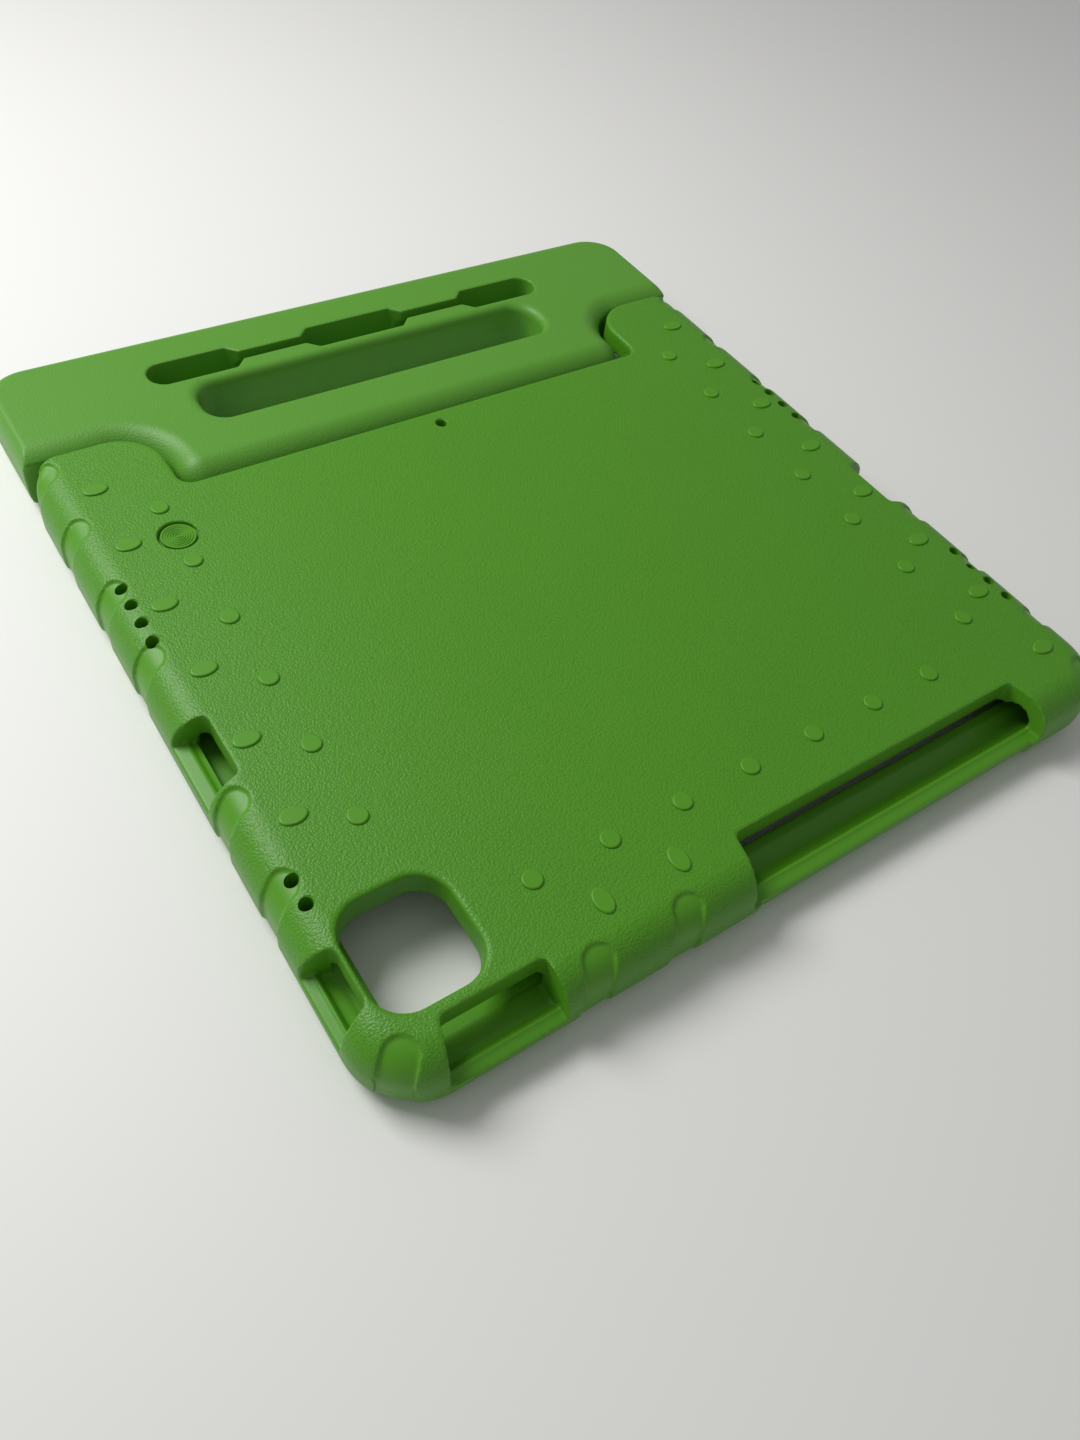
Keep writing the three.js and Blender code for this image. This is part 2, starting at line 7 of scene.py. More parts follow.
import logging
import math
from collections.abc import Callable, Iterator, Sequence
from contextlib import contextmanager
from dataclasses import dataclass, field
from enum import Enum

import bmesh
import bpy
from mathutils import Matrix, Quaternion, Vector
from mathutils.bvhtree import BVHTree


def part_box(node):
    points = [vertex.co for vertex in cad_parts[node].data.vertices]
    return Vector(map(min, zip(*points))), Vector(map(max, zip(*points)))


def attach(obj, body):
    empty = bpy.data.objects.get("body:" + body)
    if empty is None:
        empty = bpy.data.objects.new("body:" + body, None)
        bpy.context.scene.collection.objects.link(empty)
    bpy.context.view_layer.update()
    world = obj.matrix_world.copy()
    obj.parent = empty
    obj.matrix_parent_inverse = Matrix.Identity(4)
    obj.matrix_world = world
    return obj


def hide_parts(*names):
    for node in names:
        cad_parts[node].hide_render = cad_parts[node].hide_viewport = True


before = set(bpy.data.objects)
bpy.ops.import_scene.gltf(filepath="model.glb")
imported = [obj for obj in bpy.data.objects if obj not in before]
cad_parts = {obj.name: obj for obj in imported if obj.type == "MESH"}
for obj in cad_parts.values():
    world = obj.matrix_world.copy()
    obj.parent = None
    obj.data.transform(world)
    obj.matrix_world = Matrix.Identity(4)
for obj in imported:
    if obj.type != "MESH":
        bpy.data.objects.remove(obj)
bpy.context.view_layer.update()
MILLIMETRE = 0.001
NEAR = 0.01
QUARTER = math.pi / 2
SHARP = math.radians(40)
DIAGONAL = math.sqrt(0.5)
TRUE_ROUND = 0.5
SMOOTHING = 0.5
NOISE_MEAN = 0.5
ROD_SIDES = 40
WIDE_STEPS = 24
CORNER_STEPS = 16
SMALL_STEPS = 12
CUT_STEPS = 5
WHITE = (1.0, 1.0, 1.0, 1.0)

log = logging.getLogger("tablet_case")

Test = Callable[[Vector], bool]
Colour = tuple[float, float, float, float]


class Pick(Enum):
    """What a selection in edit mode is made of."""

    VERTICES = "VERT"
    EDGES = "EDGE"
    FACES = "FACE"


class Joining(Enum):
    """How a second solid changes a first one."""

    CUT = "DIFFERENCE"
    ADD = "UNION"
    KEEP = "INTERSECT"


def at(*places: tuple[float, float]) -> Test:
    """Makes a test for points that stand over one of the given places in plan.

    Args:
        places: The x and y of each place.

    Returns:
        A test that is true at those places.
    """
    return lambda point: any(math.dist((point.x, point.y), place) < NEAR for place in places)


def both_sides(x: float, y: float) -> Test:
    """Makes a test for a place and its mirror image in x."""
    return at((-x, y), (x, y))


class Form:
    """One mesh on the bench, shaped with Blender's own modelling operators."""

    def __init__(self, thing: bpy.types.Object) -> None:
        """Takes an object that has just been added."""
        self.thing = thing

    @classmethod
    def added(cls, name: str) -> "Form":
        """Names the primitive that was added last, and applies its place and size.

        Args:
            name: The new object's name.

        Returns:
            The primitive, ready to be shaped.
        """
        thing = bpy.context.active_object
        thing.name = name
        bpy.ops.object.transform_apply(location=True, rotation=True, scale=True)
        return cls(thing)

    @classmethod
    def plate(cls, name: str, low: tuple[float, float], high: tuple[float, float], z: float = 0) -> "Form":
        """Adds a flat rectangle.

        Args:
            name: The new object's name.
            low: The plan corner with the lowest x and y.
            high: The plan corner with the highest x and y.
            z: The height that it lies at.

        Returns:
            The rectangle, as one face.
        """
        bpy.ops.object.select_all(action="DESELECT")
        middle = ((low[0] + high[0]) / 2, (low[1] + high[1]) / 2, z)
        bpy.ops.mesh.primitive_plane_add(size=1, location=middle)
        bpy.context.active_object.scale = (high[0] - low[0], high[1] - low[1], 1)
        return cls.added(name)

    @classmethod
    def block(cls, name: str, low: Sequence[float], high: Sequence[float]) -> "Form":
        """Adds a box.

        Args:
            name: The new object's name.
            low: Its lowest corner.
            high: Its highest corner.

        Returns:
            The box.
        """
        bpy.ops.object.select_all(action="DESELECT")
        low, high = Vector(low), Vector(high)
        bpy.ops.mesh.primitive_cube_add(size=1, location=(low + high) / 2)
        bpy.context.active_object.scale = high - low
        return cls.added(name)

    @classmethod
    def disc(cls, name: str, radius: float, segments: int) -> "Form":
        """Adds a flat round face on the floor, centred on the origin.

        Args:
            name: The new object's name.
            radius: Its radius.
            segments: The number of its sides.

        Returns:
            The face.
        """
        bpy.ops.object.select_all(action="DESELECT")
        bpy.ops.mesh.primitive_circle_add(vertices=segments, radius=radius, fill_type="NGON")
        return cls.added(name)

    @classmethod
    def rod(
        cls, name: str, radius: float, start: Sequence[float], length: float, along_x: bool = False
    ) -> "Form":
        """Adds a round rod.

        Args:
            name: The new object's name.
            radius: The rod's radius.
            start: The middle of its lowest end, or of its end with the lowest x.
            length: The rod's length.
            along_x: Whether it lies along x. It stands upright otherwise.

        Returns:
            The rod.
        """
        bpy.ops.object.select_all(action="DESELECT")
        way = Vector((1, 0, 0)) if along_x else Vector((0, 0, 1))
        turn = (0, QUARTER, 0) if along_x else (0, 0, 0)
        middle = Vector(start) + way * length / 2
        bpy.ops.mesh.primitive_cylinder_add(
            vertices=ROD_SIDES, radius=radius, depth=length, location=middle, rotation=turn
        )
        return cls.added(name)

    def alone(self) -> None:
        """Makes this the only selected object, and the active one."""
        bpy.ops.object.select_all(action="DESELECT")
        self.thing.select_set(True)
        bpy.context.view_layer.objects.active = self.thing

    @contextmanager
    def picked(self, pick: Pick, test: Test) -> Iterator[None]:
        """Opens the mesh with only the chosen elements selected, and closes it afterwards.

        Args:
            pick: The kind of element.
            test: True at the middle of each element that is chosen.
        """
        self.alone()
        bpy.ops.object.mode_set(mode="EDIT")
        bpy.ops.mesh.select_mode(type=pick.value)
        bpy.ops.mesh.select_all(action="DESELECT")
        mesh = bmesh.from_edit_mesh(self.thing.data)
        if pick is Pick.VERTICES:
            chosen = [vertex for vertex in mesh.verts if test(vertex.co)]
        elif pick is Pick.EDGES:
            chosen = [edge for edge in mesh.edges if test((edge.verts[0].co + edge.verts[1].co) / 2)]
        else:
            chosen = [face for face in mesh.faces if test(face.calc_center_median())]
        for element in chosen:
            element.select_set(True)
        mesh.select_flush_mode()
        bmesh.update_edit_mesh(self.thing.data)
        yield
        bpy.ops.object.mode_set(mode="OBJECT")

    def extrude(self, pick: Pick, test: Test, by: Sequence[float]) -> None:
        """Extrudes the chosen elements by a shift."""
        with self.picked(pick, test):
            bpy.ops.mesh.extrude_region_move(TRANSFORM_OT_translate={"value": tuple(by)})

    def move(self, test: Test, by: Sequence[float]) -> None:
        """Shifts the chosen vertices."""
        with self.picked(Pick.VERTICES, test):
            bpy.ops.transform.translate(value=tuple(by))

    def stretch(self, test: Test, factors: Sequence[float], centre: Sequence[float]) -> None:
        """Scales the chosen vertices about a point."""
        with self.picked(Pick.VERTICES, test):
            bpy.ops.transform.resize(value=tuple(factors), center_override=tuple(centre))

    def split(self, point: Sequence[float], normal: Sequence[float]) -> None:
        """Divides the faces that a plane crosses."""
        with self.picked(Pick.FACES, lambda _: True):
            bpy.ops.mesh.bisect(plane_co=tuple(point), plane_no=tuple(normal))

    def fuse(self) -> None:
        """Turns faces that lie in one plane into one face."""
        with self.picked(Pick.FACES, lambda _: True):
            bpy.ops.mesh.dissolve_faces()

    def round_corners(self, test: Test, radius: float, segments: int = CORNER_STEPS) -> None:
        """Rounds the chosen corners of a flat face."""
        with self.picked(Pick.VERTICES, test):
            bpy.ops.mesh.bevel(offset=radius, segments=segments, profile=TRUE_ROUND, affect="VERTICES")

    def round_edges(self, test: Test, radius: float, segments: int) -> None:
        """Rounds the chosen edges of a solid."""
        with self.picked(Pick.EDGES, test):
            bpy.ops.mesh.bevel(offset=radius, segments=segments, profile=TRUE_ROUND, affect="EDGES")

    def raise_by(self, height: float) -> None:
        """Makes a solid of a flat face, by extruding it upwards."""
        self.extrude(Pick.FACES, lambda _: True, (0, 0, height))
        self.tidy()

    def tidy(self) -> None:
        """Merges doubled vertices and turns every face outwards."""
        with self.picked(Pick.FACES, lambda _: True):
            bpy.ops.mesh.remove_doubles(threshold=NEAR / 10)
            bpy.ops.mesh.normals_make_consistent(inside=False)

    def grow(self, rings: Sequence[tuple[float, float, float]], centre: tuple[float, float]) -> None:
        """Extrudes a flat face through a stack of rings that are wider or narrower.

        Args:
            rings: Each ring's height, and how many times as long along x and y it is as the
                flat face was at first. The face itself becomes the first ring.
            centre: The plan point that the rings are scaled about.
        """
        first_z, now_x, now_y = rings[0]
        self.move(lambda _: True, (0, 0, first_z))
        self.stretch(lambda _: True, (now_x, now_y, 1), (*centre, first_z))
        with self.picked(Pick.FACES, lambda _: True):
            now_z = first_z
            for z, along_x, along_y in rings[1:]:
                bpy.ops.mesh.extrude_region_move(TRANSFORM_OT_translate={"value": (0, 0, z - now_z)})
                factors = (along_x / now_x, along_y / now_y, 1)
                bpy.ops.transform.resize(value=factors, center_override=(*centre, z))
                now_z, now_x, now_y = z, along_x, along_y
        self.tidy()

    def fillet(
        self,
        radius_at: Callable[[Vector], float],
        widest: float,
        segments: int = SMALL_STEPS,
        profile: float = TRUE_ROUND,
    ) -> None:
        """Rounds edges that each have a radius of their own.

        Args:
            radius_at: Gives the radius for an edge from its middle, or 0 for a sharp edge.
            widest: The largest radius that it gives.
            segments: The number of faces across each round.
            profile: 0.5 for a true round, and less for a flatter one.
        """
        mesh = self.thing.data
        weights = mesh.attributes.new("bevel_weight_edge", "FLOAT", "EDGE")
        for edge in mesh.edges:
            start, end = (mesh.vertices[index].co for index in edge.vertices)
            weights.data[edge.index].value = radius_at((start + end) / 2) / widest
        rounding = self.thing.modifiers.new("rounding", "BEVEL")
        rounding.limit_method = "WEIGHT"
        rounding.width = widest
        rounding.segments = segments
        rounding.profile = profile
        rounding.use_clamp_overlap = False
        self.apply(rounding)
        self.tidy()

    def apply(self, modifier: bpy.types.Modifier) -> None:
        """Applies one modifier."""
        self.alone()
        bpy.ops.object.modifier_apply(modifier=modifier.name)

    def combine(self, joining: Joining, *others: "Form") -> None:
        """Cuts, adds or keeps what other solids cover, and discards them.

        Args:
            joining: What the other solids do.
            others: Those solids, one after the other.
        """
        for other in others:
            change = self.thing.modifiers.new("combine", "BOOLEAN")
            change.operation = joining.value
            change.solver = "EXACT"
            change.object = other.thing
            self.apply(change)
            other.discard()

    def copy(self, place: Sequence[float], turn: float = 0, stretch: Sequence[float] = (1, 1, 1)) -> "Form":
        """Copies the solid to another place.

        Args:
            place: How far the copy is shifted.
            turn: How far it is turned about the upright axis first, in radians.
            stretch: How far it is scaled before that.

        Returns:
            The copy, with a mesh of its own.
        """
        thing = self.thing.copy()
        thing.data = self.thing.data.copy()
        bpy.context.collection.objects.link(thing)
        twin = Form(thing)
        matrix = Matrix.Translation(Vector(place)) @ Matrix.Rotation(turn, 4, "Z")
        thing.matrix_world = matrix @ Matrix.Diagonal((*stretch, 1))
        twin.alone()
        bpy.ops.object.transform_apply(location=True, rotation=True, scale=True)
        return twin

    def discard(self) -> None:
        """Removes the object and its mesh."""
        bpy.data.meshes.remove(self.thing.data)

    @staticmethod
    def joined(forms: Sequence["Form"]) -> "Form":
        """Joins solids that don't touch into one object.

        Args:
            forms: The solids.

        Returns:
            The first of them, which now holds all.
        """
        forms[0].alone()
        for form in forms[1:]:
            form.thing.select_set(True)
        bpy.ops.object.join()
        return forms[0]

    def surface(self) -> BVHTree:
        """Keeps the surface as it is now, for measuring distances from it.

        Returns:
            The surface, as a search tree.
        """
        mesh = self.thing.data
        mesh.calc_loop_triangles()
        corners = [vertex.co.copy() for vertex in mesh.vertices]
        return BVHTree.FromPolygons(corners, [tuple(each.vertices) for each in mesh.loop_triangles])

    def soften(self, voxel: float, passes: int, triangles: int) -> None:
        """Gives the solid the soft, even edges of moulded foam.

        Args:
            voxel: The spacing of the even mesh.
            passes: How many times it is smoothed.
            triangles: How many triangles are left where flats are thinned out.
        """
        even = self.thing.modifiers.new("even", "REMESH")
        even.mode = "VOXEL"
        even.voxel_size = voxel
        self.apply(even)
        relax = self.thing.modifiers.new("relax", "SMOOTH")
        relax.factor = SMOOTHING
        relax.iterations = passes
        self.apply(relax)
        thin = self.thing.modifiers.new("thin", "DECIMATE")
        thin.ratio = min(1.0, triangles / (2 * len(self.thing.data.polygons)))
        self.apply(thin)
        self.alone()
        bpy.ops.object.shade_smooth()

    def mark_grain(self, moulded: BVHTree, reach: float) -> None:
        """Marks the faces that still lie on the moulded blank, which carry its grain.

        Args:
            moulded: The surface of the blank, before anything was cut or added.
            reach: How far a face may lie from it and still carry the grain.
        """
        mesh = self.thing.data
        grain = mesh.attributes.new("grain", "FLOAT", "FACE")
        marks = [float(moulded.find_nearest(face.center)[3] < reach) for face in mesh.polygons]
        grain.data.foreach_set("value", marks)

    def settle(self, name: str) -> bpy.types.Object:
        """Turns millimetres into metres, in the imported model's frame, and settles the shading.

        Args:
            name: The finished piece's name.

        Returns:
            The finished piece.
        """
        self.thing.name = name
        self.thing.data.name = name
        self.thing.scale = (MILLIMETRE,) * 3
        self.thing.location = (0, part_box("case_body")[0].y, 0)
        self.alone()
        bpy.ops.object.transform_apply(location=True, rotation=True, scale=True)
        bpy.ops.object.shade_smooth_by_angle(angle=SHARP)
        steady = self.thing.modifiers.new("steady", "WEIGHTED_NORMAL")
        steady.keep_sharp = True
        self.apply(steady)
        return self.thing


@dataclass(frozen=True)
class CaseSizes:
    """Sizes that the shell and the handle share, in millimetres."""

    tablet_length: float = 280.6
    tablet_width: float = 214.9
    tablet_thickness: float = 6.4
    tablet_corner: float = 18.0
    clearance: float = 0.2
    thickness: float = 24.0
    panel: float = 9.0
    side_wall: float = 9.0
    pen_wall: float = 13.5
    recess_wall: float = 5.9
    horn_depth: float = 34.0
    horn_width: float = 46.5
    horn_inner_corner: float = 17.5
    recess_corner: float = 5.5
    handle_gap: float = 0.5
    pin_radius: float = 3.0
    pin_length: float = 26.0
    pin_clearance: float = 0.3
    through: float = 1.0

    @property
    def cavity_length(self) -> float:
        """The tablet's place along x."""
        return self.tablet_length + 2 * self.clearance

    @property
    def cavity_width(self) -> float:
        """The tablet's place along y."""
        return self.tablet_width + 2 * self.clearance

    @property
    def cavity_top(self) -> float:
        """The inner face of the back panel."""
        return self.thickness - self.panel

    @property
    def cavity_floor(self) -> float:
        """The inner face of the frame round the screen."""
        return self.cavity_top - self.tablet_thickness - 2 * self.clearance

    @property
    def half_length(self) -> float:
        """Half of the shell's length."""
        return self.cavity_length / 2 + self.side_wall

    @property
    def tablet_centre_y(self) -> float:
        """The middle of the tablet's place."""
        return self.pen_wall + self.cavity_width / 2

    @property
    def recess_y(self) -> float:
        """The wall that the handle's tongue faces."""
        return self.pen_wall + self.cavity_width + self.recess_wall

    @property
    def horn_top_y(self) -> float:
        """The far end of the horns."""
        return self.recess_y + self.horn_depth

    @property
    def recess_half(self) -> float:
        """Half of the width between the horns."""
        return self.half_length - self.horn_width

    @property
    def pivot_y(self) -> float:
        """The handle's axis."""
        return self.recess_y + self.handle_gap + self.thickness / 2

    @property
    def heel_y(self) -> float:
        """The handle's edge that faces the horns."""
        return self.horn_top_y + self.handle_gap

    def pin_bores(self) -> Form:
        """Makes the two bores for the pivot pins.

        Returns:
            One cutter for both.
        """
        radius = self.pin_radius + self.pin_clearance
        length = self.pin_length + 2 * self.pin_clearance
        middle = self.recess_half - self.handle_gap / 2
        height = self.thickness / 2
        starts = [(side * middle - length / 2, self.pivot_y, height) for side in (-1, 1)]
        return Form.joined([Form.rod("bore", radius, start, length, along_x=True) for start in starts])


def rounded_tower(
    low: tuple[float, float],
    high: tuple[float, float],
    corner: float,
    rings: Sequence[tuple[float, float]],
    near_share: float = 1.0,
) -> Form:
    """Makes a cutter with a rounded rectangle for its outline, which spreads or narrows upwards.

    Args:
        low: The plan corner with the lowest x and y.
        high: The plan corner with the highest x and y.
        corner: The radius of its corners.
        rings: The height of each ring, and how far it spreads past the outline.
        near_share: How much of that spread the side with the lowest y has.

    Returns:
        The closed cutter.
    """
    width, height = high[0] - low[0], high[1] - low[1]
    form = Form.plate("tower", low, high)
    corners = at(low, high, (low[0], high[1]), (high[0], low[1]))
    form.round_corners(corners, corner)
    centre = ((low[0] + high[0]) / 2, low[1] + height * near_share / (1 + near_share))
    form.grow(
        [(z, 1 + 2 * spread / width, 1 + (1 + near_share) * spread / height) for z, spread in rings],
        centre,
    )
    return form


def lip_rings(z: float, radius: float, upwards: bool, steps: int = 6) -> list[tuple[float, float]]:
    """Gives the rings of a rounded lip at a face, for a cutter.

    Args:
        z: The height of the face.
        radius: The radius of the lip.
        upwards: Whether the cutter runs out upwards there. It runs in from below otherwise.
        steps: The number of rings.

    Returns:
        The height and the spread of each ring, from the lowest to the highest.
    """
    angles = [QUARTER * step / steps for step in range(steps + 1)]
    if upwards:
        return [(z - radius * (1 - math.sin(a)), radius * (1 - math.cos(a))) for a in angles]
    return [(z + radius * (1 - math.cos(a)), radius * (1 - math.sin(a))) for a in angles]


@dataclass(frozen=True)
class EdgeCutOut:
    """A cut-out in an edge of the shell, which widens on its way out."""

    half_width: float
    profile: tuple[tuple[float, float], ...]
    flares: tuple[float, float]
    place: tuple[float, float]
    turn: float = 0.0
    corner: float = 2.0

    def cutter(self, ceiling: float) -> Form:
        """Makes the cutter: a box whose floor follows the profile and whose ends spread outwards.

        Args:
            ceiling: The height that it reaches up to.

        Returns:
            The cutter, in its place on the shell.
        """
        lowest = min(z for _, z in self.profile)
        outer, inner = self.profile[0][0], self.profile[-1][0]
        form = Form.block("cut_out", (-self.half_width, outer, lowest), (self.half_width, inner, ceiling))
        for inwards, _ in self.profile[1:-1]:
            form.split((0, inwards, 0), (0, 1, 0))
        for inwards, z in self.profile:
            form.move(lambda p: abs(p.y - inwards) < NEAR and p.z < lowest + NEAR, (0, 0, z - lowest))
            for side, flare in zip((-1, 1), self.flares):
                form.move(
                    lambda p: abs(p.y - inwards) < NEAR and side * p.x > 0,
                    (side * flare * (inner - inwards), 0, 0),
                )
        middle = (ceiling + self.profile[-1][1]) / 2
        upright: Test = lambda p: abs(p.y - inner) < NEAR and abs(p.z - middle) < NEAR
        form.round_edges(upright, self.corner, CUT_STEPS)
        placed = form.copy((*self.place, 0), self.turn)
        form.discard()
        return placed


@dataclass
class Shell:
    """The moulded foam shell: back panel, rounded edges, two horns and the frame round the screen."""

    sizes: CaseSizes
    corner: float = 22.0
    horn_outer_corner: float = 12.6
    flat_corner: float = 0.5
    top_fillet: float = 12.0
    bottom_fillet: float = 8.0
    crest: float = 1.4
    bezel_overlap: float = 6.3
    screen_corner: float = 10.0
    screen_chamfer: float = 2.5
    dot_radius: float = 3.3
    dot_height: float = 0.7
    dot_round: float = 0.62
    dot_steps: int = 4
    oval: tuple[float, float] = (1.38, 0.92)
    side_dots: tuple[float, float, float] = (34.5, 29.5, 8.6)
    side_ovals: tuple[float, float, float] = (18.5, 31.4, -9.6)
    pen_dots: tuple[float, float, int] = (35.8, 27.5, 7)
    pen_oval_inset: float = 20.2
    pen_oval_pairs: int = 2
    scallop_width: float = 10.6
    scallop_depth: float = 1.0
    scallop_reach: float = 16.0
    scallop_lean: float = 0.33
    scallop_steps: int = 10
    left_scallops: tuple[float, ...] = (140.0, 107.5, 74.0, 42.0, -20.5, -52.0)
    right_scallops: tuple[float, ...] = (140.0, 107.5, 74.0, 42.0, -20.5, -52.0, -84.0)
    pen_scallops: tuple[float, ...] = (70.0, 101.7)
    hole_radius: float = 2.2
    hole_inset: float = 9.1
    hole_pitch: float = 8.9
    hole_floor: float = 11.0
    hole_lip: float = 0.5
    hole_sides: int = 32
    hole_rows: tuple[tuple[int, float, int], ...] = (
        (-1, 61.0, 4),
        (1, 61.0, 4),
        (1, -58.4, 4),
        (-1, -56.3, 2),
    )
    microphone_from_recess: float = 7.8
    window_size: tuple[float, float] = (34.1, 36.4)
    window_corner: float = 11.0
    window_from_side: float = 28.3
    window_from_pen_face: float = 36.6
    window_draft: float = 0.6
    window_lip: float = 1.6
    port_half: float = 12.2
    power_half: float = 9.2
    power_from_pen_face: float = 36.0
    volume_half: float = 16.6
    volume_from_side: float = 40.4
    pen_cut_from_side: float = 106.5
    pen_cut_half: float = 63.5
    pen_shelf: float = 6.2
    pen_channel_radius: float = 5.6
    pen_channel_height: float = 12.1
    pen_bores: tuple[float, float] = (28.0, 14.0)
    disc_from_side: float = 34.9
    disc_from_recess: float = 24.1
    disc_radius: float = 7.0
    disc_depth: float = 1.8
    disc_moat: float = 1.0
    disc_rise: float = 1.3
    disc_lip: float = 0.35
    disc_sides: int = 72
    disc_rings: int = 6
    ring_depth: float = 0.3
    ring_share: float = 0.3
    voxel: float = 0.55
    passes: int = 1
    triangles: int = 170_000
    grain_reach: float = 0.3
    cut_outs: tuple[EdgeCutOut, ...] = field(init=False)

    def __post_init__(self) -> None:
        """Places the cut-outs in the edges, each with its floor's depth and height along the way in."""
        half, middle = self.sizes.half_length, self.sizes.tablet_centre_y
        floor = self.sizes.cavity_floor
        port = ((-1.0, 12.8), (5.2, 13.7), (5.5, 12.7), (7.6, 12.7), (7.9, floor), (11.9, floor))
        power = ((-1.0, 10.4), (3.3, 11.2), (3.8, 11.9), (4.5, 11.2), (5.7, 9.0), (9.8, 8.6))
        pen = ((-1.0, 10.4), (4.6, 11.2), (5.2, 11.9), (6.0, 11.2), (19.0, 12.1))
        volume = ((-1.0, 10.4), (3.1, 11.2), (3.6, 11.9), (4.3, 11.2), (6.0, 9.2), (14.5, 8.6))
        self.cut_outs = (
            EdgeCutOut(self.port_half, port, (0.12, 0.2), (-half, middle), -QUARTER),
            EdgeCutOut(self.port_half, port, (0.2, 0.12), (half, middle), QUARTER),
            EdgeCutOut(self.power_half, power, (0.25, 0.35), (-half, self.power_from_pen_face), -QUARTER),
            EdgeCutOut(self.volume_half, volume, (0.28, 0.0), (self.volume_from_side - half, 0)),
            EdgeCutOut(self.pen_cut_half, pen, (0.2, 0.2), (self.pen_cut_x, 0)),
        )

    @property
    def pen_cut_x(self) -> float:
        """The middle of the long pen cut-out."""
        return self.sizes.half_length - self.pen_cut_from_side

    def blank(self, sunk: float = 0.0) -> Form:
        """Makes the shell before anything is cut from it.

        Args:
            sunk: How far its sides and its top are moved inwards.

        Returns:
            The blank.
        """
        size = self.sizes
        half, recess_half = size.half_length - sunk, size.recess_half + sunk
        recess_y, horn_top = size.recess_y - sunk, size.horn_top_y - sunk
        top = size.thickness - sunk
        form = Form.plate("shell", (-half, sunk), (half, recess_y))
        form.split((-recess_half, 0, 0), (1, 0, 0))
        form.split((recess_half, 0, 0), (1, 0, 0))
        horn_roots: Test = lambda p: p.y > recess_y - NEAR and abs(p.x) > recess_half + NEAR
        form.extrude(Pick.EDGES, horn_roots, (0, horn_top - recess_y, 0))
        form.fuse()
        form.round_corners(both_sides(half, sunk), self.corner - sunk, WIDE_STEPS)
        form.round_corners(both_sides(half, horn_top), self.horn_outer_corner - sunk, WIDE_STEPS)
        form.round_corners(both_sides(recess_half, horn_top), size.horn_inner_corner - sunk, WIDE_STEPS)
        form.round_corners(both_sides(recess_half, recess_y), size.recess_corner + sunk, SMALL_STEPS)
        form.raise_by(top)
        outer_corner = self.horn_outer_corner - sunk
        arc_x, arc_y = half - outer_corner, horn_top - outer_corner

        def radius_at(point: Vector) -> float:
            """Gives the rim's radius, which dies away to a crest round the horn's outer corner.

            The flat that the rim leaves there keeps a small round corner, flat_corner, because its
            outline would cross itself if the radius just fell evenly.

            Args:
                point: The middle of an edge.

            Returns:
                Its radius, or 0 for an upright edge.
            """
            if NEAR < point.z < top - NEAR:
                return 0.0
            soft = (self.top_fillet if point.z > NEAR else self.bottom_fillet) - sunk
            crest = self.crest / 2 if sunk else self.crest
            across, along = abs(point.x) - arc_x, point.y - arc_y
            if across > NEAR and along > NEAR:
                angle = math.atan2(along, across)
                flat_x = outer_corner - soft - self.flat_corner
                flat_y = outer_corner - crest - self.flat_corner
                flat = self.flat_corner + flat_x * math.cos(angle) + flat_y * math.sin(angle)
                return outer_corner - flat
            outer = point.y < self.corner or abs(point.x) > half - NEAR
            return soft if outer else crest

        form.fillet(radius_at, self.top_fillet - sunk)
        return form

    def dots(self) -> Form:
        """Makes every raised dot and oval.

        Returns:
            One object that holds them all.
        """
        size = self.sizes
        top = size.thickness + self.dot_height
        root = size.thickness - size.through
        dot = Form.rod("dot", self.dot_radius, (0, 0, root), self.dot_height + size.through)
        dot.round_edges(lambda p: p.z > top - NEAR, self.dot_round, self.dot_steps)
        along, across = self.oval
        window_top = self.window_from_pen_face + self.window_size[1] / 2 + self.dot_radius
        dots = []

        def row(
            side: int, end: float, places: tuple[float, float, float], shape: tuple[float, float]
        ) -> None:
            """Adds a row beside a short side, from the recess down to its end.

            Args:
                side: -1 for the left side and 1 for the right one.
                end: The lowest y that a dot may have.
                places: The row's inset, its pitch and its first dot's distance from the recess.
                shape: How much longer and wider than the round dot each one is.
            """
            inset, pitch, from_recess = places
            y = size.recess_y - from_recess
            while y >= end:
                dots.append(dot.copy((side * (size.half_length - inset), y, 0), 0, (*shape, 1)))
                y -= pitch

        row(-1, window_top, self.side_dots, (1, 1))
        row(1, self.pen_dots[0], self.side_dots, (1, 1))
        row(-1, window_top, self.side_ovals, (along, across))
        row(1, self.corner, self.side_ovals, (along, across))
        inset, pitch, count = self.pen_dots
        first = -pitch * (count - 1) / 2
        dots += [dot.copy((first + number * pitch, inset, 0)) for number in range(count)]
        dots += [
            dot.copy((first + (number + 0.5) * pitch, self.pen_oval_inset, 0), 0, (across, along, 1))
            for number in range(self.pen_oval_pairs)
        ]
        dot.discard()
        return Form.joined(dots)

